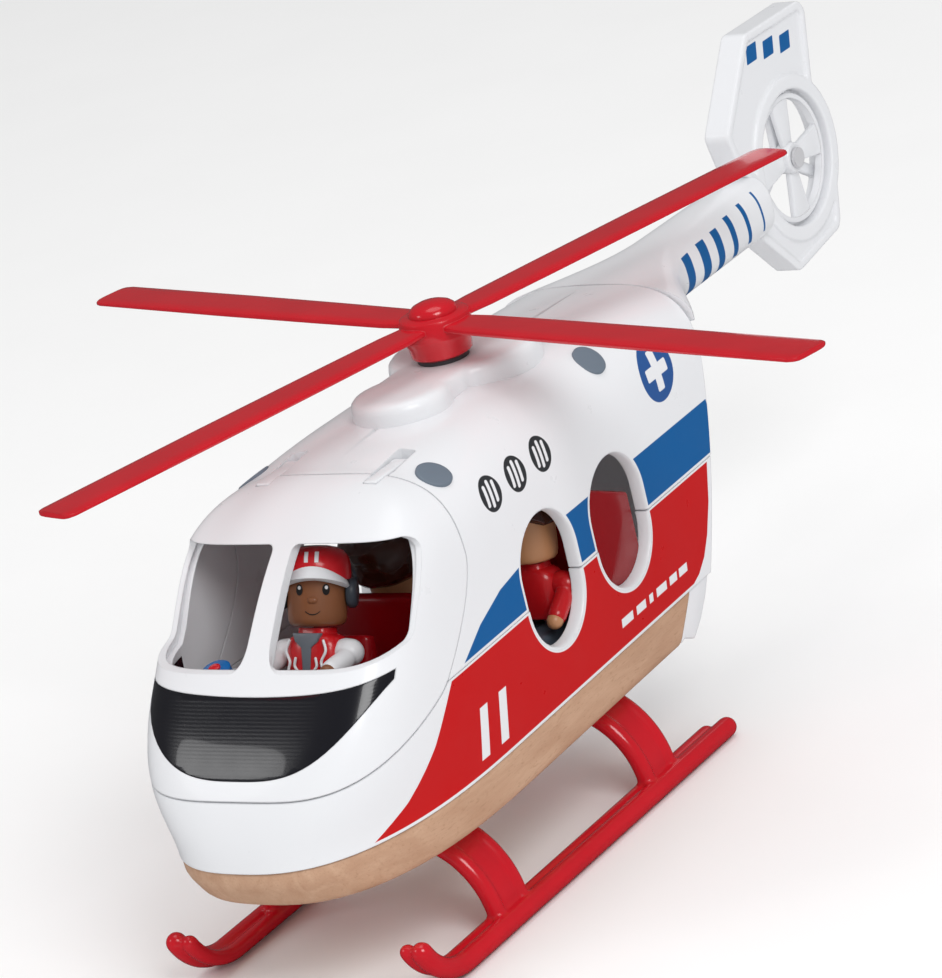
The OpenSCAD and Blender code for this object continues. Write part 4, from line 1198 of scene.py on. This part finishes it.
def build_cap(face):
    """Red cap with a curved white brim and two plain bars."""
    profile = [(6.2, 8.7), (6.5, 8.75), (6.6, 9.8), (6.5, 11.4), (6.15, 12.9), (5.3, 14.1), (3.9, 14.8),
               (2.0, 15.15), (0, 15.2)]
    rings = []
    for r, z in profile:
        dip = 0.9 if z < 10 else 0.0
        rings.append([(r * c, r * s, z - dip * max(0.0, s)) for c, s in turns(56)])
    crown = place(add_mesh("pilot_cap_skin", *loft(rings), sharp=60), face)
    fit(crown, "pilot_head", "cap", "pilot_cap")
    rings = []
    for i in range(33):
        a = math.radians(-80 + 160 * i / 32)
        fade = max(0.0, math.cos(a * 1.12)) ** 0.7
        reach, tall = 6.35 + 1.9 * fade, 0.5 + 2.0 * fade
        droop = 1.7 * math.sin(a) ** 2
        top = []
        for r in np.linspace(6.3, reach, 6):
            rise = tall * (1 - (r - 6.3) / (reach - 6.3)) ** 1.2
            top.append((r * math.sin(a), -r * math.cos(a), 9.1 - droop + rise))
        rings.append(top + [(6.3 * math.sin(a), -6.3 * math.cos(a), 8.6 - droop)])
    brim = add_mesh("pilot_cap_brim", *loft(rings), sharp=50)
    fit(place(brim, face), "pilot_head", "white")
    for s, hand in ((-1, "left"), (1, "right")):
        rings = []
        for z, r in ((12.0, 6.36), (12.5, 6.23), (13.0, 6.07), (13.5, 5.75), (14.0, 5.36)):
            rings.append([(s * 1.0 + u, -math.sqrt((r + e) ** 2 - (s * 1.0 + u) ** 2), z)
                          for u, e in ((-0.38, -0.1), (0.38, -0.1), (0.38, 0.08), (-0.38, 0.08))])
        bar = add_mesh(f"pilot_cap_bar_{hand}", *loft(rings), sharp=40)
        fit(place(bar, face), "pilot_head", "white")


def build_headset(face):
    parts = []
    for s in (-1, 1):
        cup = lathe("cup", [(0, 0), (2.6, 0), (2.9, 0.4), (2.9, 1.3), (2.5, 1.8), (1.6, 2.0), (0, 2.05)], 32)
        turn = Matrix.Translation((s * 5.7, 0.6, 6.2)) @ Matrix.Rotation(s * math.pi / 2, 4, "Y")
        parts.append(place(cup, turn))
    ob = join("pilot_headset_skin", parts)
    shade(ob, 50)
    fit(place(ob, face), "pilot_head", "headset", "pilot_headset")
    band = []
    for i in range(25):
        a = math.radians(-8 + 196 * i / 24)
        band.append((6.9 * math.cos(a), 2.4, 7.4 + 6.6 * max(0, math.sin(a))))
    strap = tube("pilot_headset_band", band, 0.6, 12)
    fit(place(strap, face), "pilot_head", "headset")


# Printed cord on one side of the vest
CORD = ((3.9, -3.75, 13.9), (4.5, -3.95, 12.0), (3.6, -4.1, 10.0), (3.9, -4.1, 8.2), (2.6, -4.1, 7.0),
        (1.8, -4.1, 8.0), (2.5, -4.1, 9.2), (2.3, -4.1, 10.6))


def build_vest_details(top):
    """Collar, zip strip and white tubes printed on the vest."""
    for s, hand in ((-1, "left"), (1, "right")):
        path = spline([(s * x, y, z) for x, y, z in CORD], 8)
        fit(place(tube(f"pilot_vest_cord_{hand}", path, 0.27, 10), top), "airframe", "white")
    right = [(3.1, 15.3), (2.5, 13.7), (1.1, 12.6), (0.75, 5.9)]
    yoke = prism("pilot_collar", right + [(-x, z) for x, z in right[::-1]], -4.02, -2.6, "y")
    soften(yoke, 0.2, 2)
    fit(place(yoke, top), "airframe", "collar")


def build_hair(key, face):
    """Smooth moulded hair with a fringe line over the forehead."""
    n = 56
    low_back, full, tall = (5.6, 1.32, 16.0) if key == "medic" else (7.4, 1.0, 14.0)
    rings = []
    for r, t in ((6.1, 0.0), (6.7, 0.05), (7.0, 0.25), (7.0, 0.55), (6.6, 0.78), (5.5, 0.92), (3.5, 0.985),
                 (1.6, 1.0), (0.01, 1.0)):
        r = r * (1 + (full - 1) * min(1.0, t * 8))
        ring = []
        for i in range(n):
            a = 2 * math.pi * i / n
            front = max(0.0, -math.sin(a)) ** 0.6
            low = low_back + (9.4 - low_back) * front
            ripple = 0.10 * math.cos(a * 9 + t * 2)
            ring.append(((r + ripple) * math.cos(a), (r + ripple) * math.sin(a), low + (tall - low) * t))
        rings.append(ring)
    ob = add_mesh(f"{key}_hair_skin", *loft(rings), sharp=60)
    fit(place(ob, face), f"{key}_head", "hair", f"{key}_hair")


CONSOLE_TILT = math.radians(14)


def build_interior():
    seat("pilot", 0.9, 15, 15, 14.5, 0.6, 8)
    seat("medic", 2.2, 18, 30, 22, 2.6, 8)
    seat("passenger", 10.8, 24, 24, 28, 2.6, 11, ((23, 21), (23, 3.2), (11, 3.2)))
    low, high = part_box("control_console")
    low, high = low / MM - TO_CENTRE, high / MM - TO_CENTRE
    fall = (high.y - low.y) * math.tan(CONSOLE_TILT)
    side = [(low.y, low.z), (high.y, low.z), (high.y, high.z), (low.y, high.z - fall)]
    ob = soften(prism("control_console_skin", side, low.x, high.x), 0.8)
    fit(ob, "airframe", "console", "control_console")
    low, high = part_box("console_dial")
    centre = (low + high) / 2 / MM - TO_CENTRE
    tilt = Matrix.Translation(centre) @ Matrix.Rotation(CONSOLE_TILT, 4, "X")
    dial = lathe("console_dial_skin", [(0, -0.8), (3, -0.8), (3, 0.6), (2.7, 0.85), (0, 0.85)], 40)
    fit(place(dial, tilt), "airframe", "dial", "console_dial")
    centre_knob = lathe("console_dial_centre", [(0, 0.5), (1.2, 0.5), (1.2, 1.2), (0.9, 1.4), (0, 1.4)], 32)
    fit(place(centre_knob, tilt), "airframe", "red")


# == Stage
SKY = 0.68
SKY_IN_GLOSS = 0.10
# Bright patch painted on the floor for glossy rays only: a painted reflection that glossy faces under the
# nose show as a highlight
HIGHLIGHT_PATCH_AT = (-14.0, -132.0)
HIGHLIGHT_PATCH_R, HIGHLIGHT_PATCH_SOFT = 10.0, 26.0


def build_stage():
    size = 3.0
    floor = add_mesh("floor", [(-size / MM, -size / MM, 0), (size / MM, -size / MM, 0),
                               (size / MM, size / MM, 0), (-size / MM, size / MM, 0)], [(0, 1, 2, 3)])
    floor.location.z = -0.0002
    s = Shader("floor")
    grain = s.noise(0.02, 4.0)
    pale = s.mix((0.93, 0.93, 0.93), (0.96, 0.96, 0.96), grain)
    # Painted reflection: glossy rays see the floor dark with the bright patch, while the camera sees it pale
    ray = s.node("LightPath")
    highlight_patch = s.inside(s.disc(s.x, s.y, *HIGHLIGHT_PATCH_AT, HIGHLIGHT_PATCH_R), HIGHLIGHT_PATCH_SOFT)
    reflected_floor = s.mix((0.10, 0.10, 0.11), (0.62, 0.62, 0.66), highlight_patch)
    floor.data.materials.append(s.finish(s.mix(pale, reflected_floor, ray.outputs["Is Glossy Ray"]), 0.9, specular=0.0))
    world = bpy.data.worlds.new("studio")
    bpy.context.scene.world = world
    world.use_nodes = True
    back = world.node_tree.nodes["Background"]
    back.inputs[0].default_value = (1.0, 1.0, 1.0, 1.0)
    ray = world.node_tree.nodes.new("ShaderNodeLightPath")
    dim = world.node_tree.nodes.new("ShaderNodeMapRange")
    dim.inputs["To Min"].default_value = SKY
    dim.inputs["To Max"].default_value = SKY_IN_GLOSS
    world.node_tree.links.new(ray.outputs["Is Glossy Ray"], dim.inputs["Value"])
    world.node_tree.links.new(dim.outputs[0], back.inputs[1])
    add_light("key", (0.9, -0.6, 1.0), (0.0, 0.0, 0.05), 0.7, 7.5)
    add_light("fill", (-0.9, -0.9, 0.8), (0.0, 0.0, 0.05), 0.4, 1.4)
    add_light("top", (0.0, 0.1, 1.4), (0.0, 0.0, 0.05), 0.9, 3.0)


def add_light(name, spot, target, size, power):
    data = bpy.data.lights.new(name, "AREA")
    data.shape = "DISK"
    data.size = size
    data.energy = power
    ob = bpy.data.objects.new(name, data)
    ob.location = spot
    ob.rotation_euler = (Vector(target) - Vector(spot)).to_track_quat("-Z", "Y").to_euler()
    bpy.context.scene.collection.objects.link(ob)


def build_camera():
    az, el, roll = (math.radians(a) for a in (35.577, 18.086, -13.616))
    back = Vector((math.sin(az) * math.cos(el), -math.cos(az) * math.cos(el), math.sin(el)))
    right = Vector((math.cos(az), math.sin(az), 0))
    up = back.cross(right)
    r2 = right * math.cos(roll) + up * math.sin(roll)
    u2 = -right * math.sin(roll) + up * math.cos(roll)
    data = bpy.data.cameras.new("camera")
    data.lens = 184.05
    data.sensor_width = 36.0
    data.clip_start = 0.05
    data.clip_end = 20.0
    ob = bpy.data.objects.new("camera", data)
    m = Matrix((r2, u2, back)).transposed().to_4x4()
    m.translation = Vector((0.5440, -0.7620, 0.3712)) + TO_CENTRE * MM
    ob.matrix_world = m
    bpy.context.scene.collection.objects.link(ob)
    bpy.context.scene.camera = ob


def make_materials():
    return {
        "cabin": plastic("cabin_white_print", WHITE, 0.30, 0.15, 0.35, cabin_paint),
        "boom": plastic("boom_white_print", WHITE, 0.30, 0.15, 0.35, boom_paint),
        "fin": plastic("fin_white_print", WHITE, 0.30, 0.15, 0.35, fin_paint),
        "white": plastic("white_plastic", WHITE, 0.30, 0.15, 0.3, variation=0.015),
        "visor": plastic("black_visor", VISOR_BLACK, 0.22, 0.5, 0.3, grain=0.06, relief=visor_lines),
        "red": plastic("red_plastic", RED, 0.20, 0.5, 0.35),
        # Inside red, darker than the outer red: partly its own colour, partly painted shade for the inside of
        # the cabin
        "liner": plastic("red_liner", (0.27, 0.002, 0.005), 0.2, 0.1, 0.5),
        "wood": beech(),
        "plug": plastic("grey_plug", (0.16, 0.20, 0.25), 0.5, 0.0, 0.2),
        "console": plastic("console_grey", (0.45, 0.46, 0.48), 0.45, 0.1, 0.4),
        "dial": plastic("dial_blue", (0.0, 0.13, 0.42), 0.3, 0.3, 0.2),
        "trousers": plastic("trousers_grey", (0.08, 0.10, 0.13), 0.4, 0.1, 0.4),
        "jacket": plastic("jacket_red", (0.50, 0.008, 0.012), 0.25, 0.3, 0.4),
        "vest": plastic("vest_red", (0.60, 0.01, 0.015), 0.25, 0.3, 0.4),
        "sleeve": plastic("sleeve_white", (0.80, 0.80, 0.82), 0.3, 0.2, 0.4, variation=0.02),
        "collar": plastic("collar_grey", (0.17, 0.19, 0.22), 0.4, 0.1, 0.2),
        "skin_brown": plastic("skin_brown", (0.24, 0.088, 0.036), 0.34, 0.2, 0.3),
        "skin_tan": plastic("skin_tan", (0.52, 0.25, 0.12), 0.36, 0.15, 0.3),
        "cap": plastic("cap_red", (0.60, 0.008, 0.015), 0.25, 0.3, 0.3),
        "headset": plastic("headset_grey", (0.045, 0.055, 0.07), 0.42, 0.1, 0.3),
        "hair": plastic("hair_brown", (0.045, 0.014, 0.008), 0.14, 0.6, 0.3),
        "ink": plastic("print_black", (0.012, 0.010, 0.010), 0.3, 0.2, 0.1),
        "steel": metal("steel", (0.78, 0.78, 0.80)),
        # Pale grey plastic for the steel tail rotor pin: a painted reflection of the bright studio in place
        # of metal
        "pin": plastic("pale_steel", (0.60, 0.60, 0.62), 0.3, 0.2, 0.2),
        "bushing": plastic("dark_bushing", (0.04, 0.04, 0.045), 0.45, 0.0, 0.2),
    }


def dress_cad():
    """Materials of the CAD nodes that are shown as they are."""
    finish = {"steel": "steel", "grey_plug": "plug", "dark_bushing": "bushing", "red_liner": "liner"}
    # The tail rotor pin takes the pale grey, a painted reflection in place of steel
    own = {"tail_rotor_pin": "pin"}
    slots = {row["node"]: row["material_slot"] for row in frame["record"]["subparts"]}
    for name, ob in frame["nodes"].items():
        if not ob.hide_render:
            ob.data.materials.clear()
            ob.data.materials.append(MATERIALS[own.get(name, finish.get(slots[name], "white"))])


MATERIALS = make_materials()
for build in (build_shells, build_wood, build_boom, build_fin, build_tail_rotor, build_cowling, build_skids,
              build_rotor, build_roof_details, build_hatch, build_interior):
    build()
for figure in FIGURES:
    build_figure(figure)
dress_cad()
build_stage()
build_camera()
bpy.context.scene.view_settings.view_transform = "Standard"
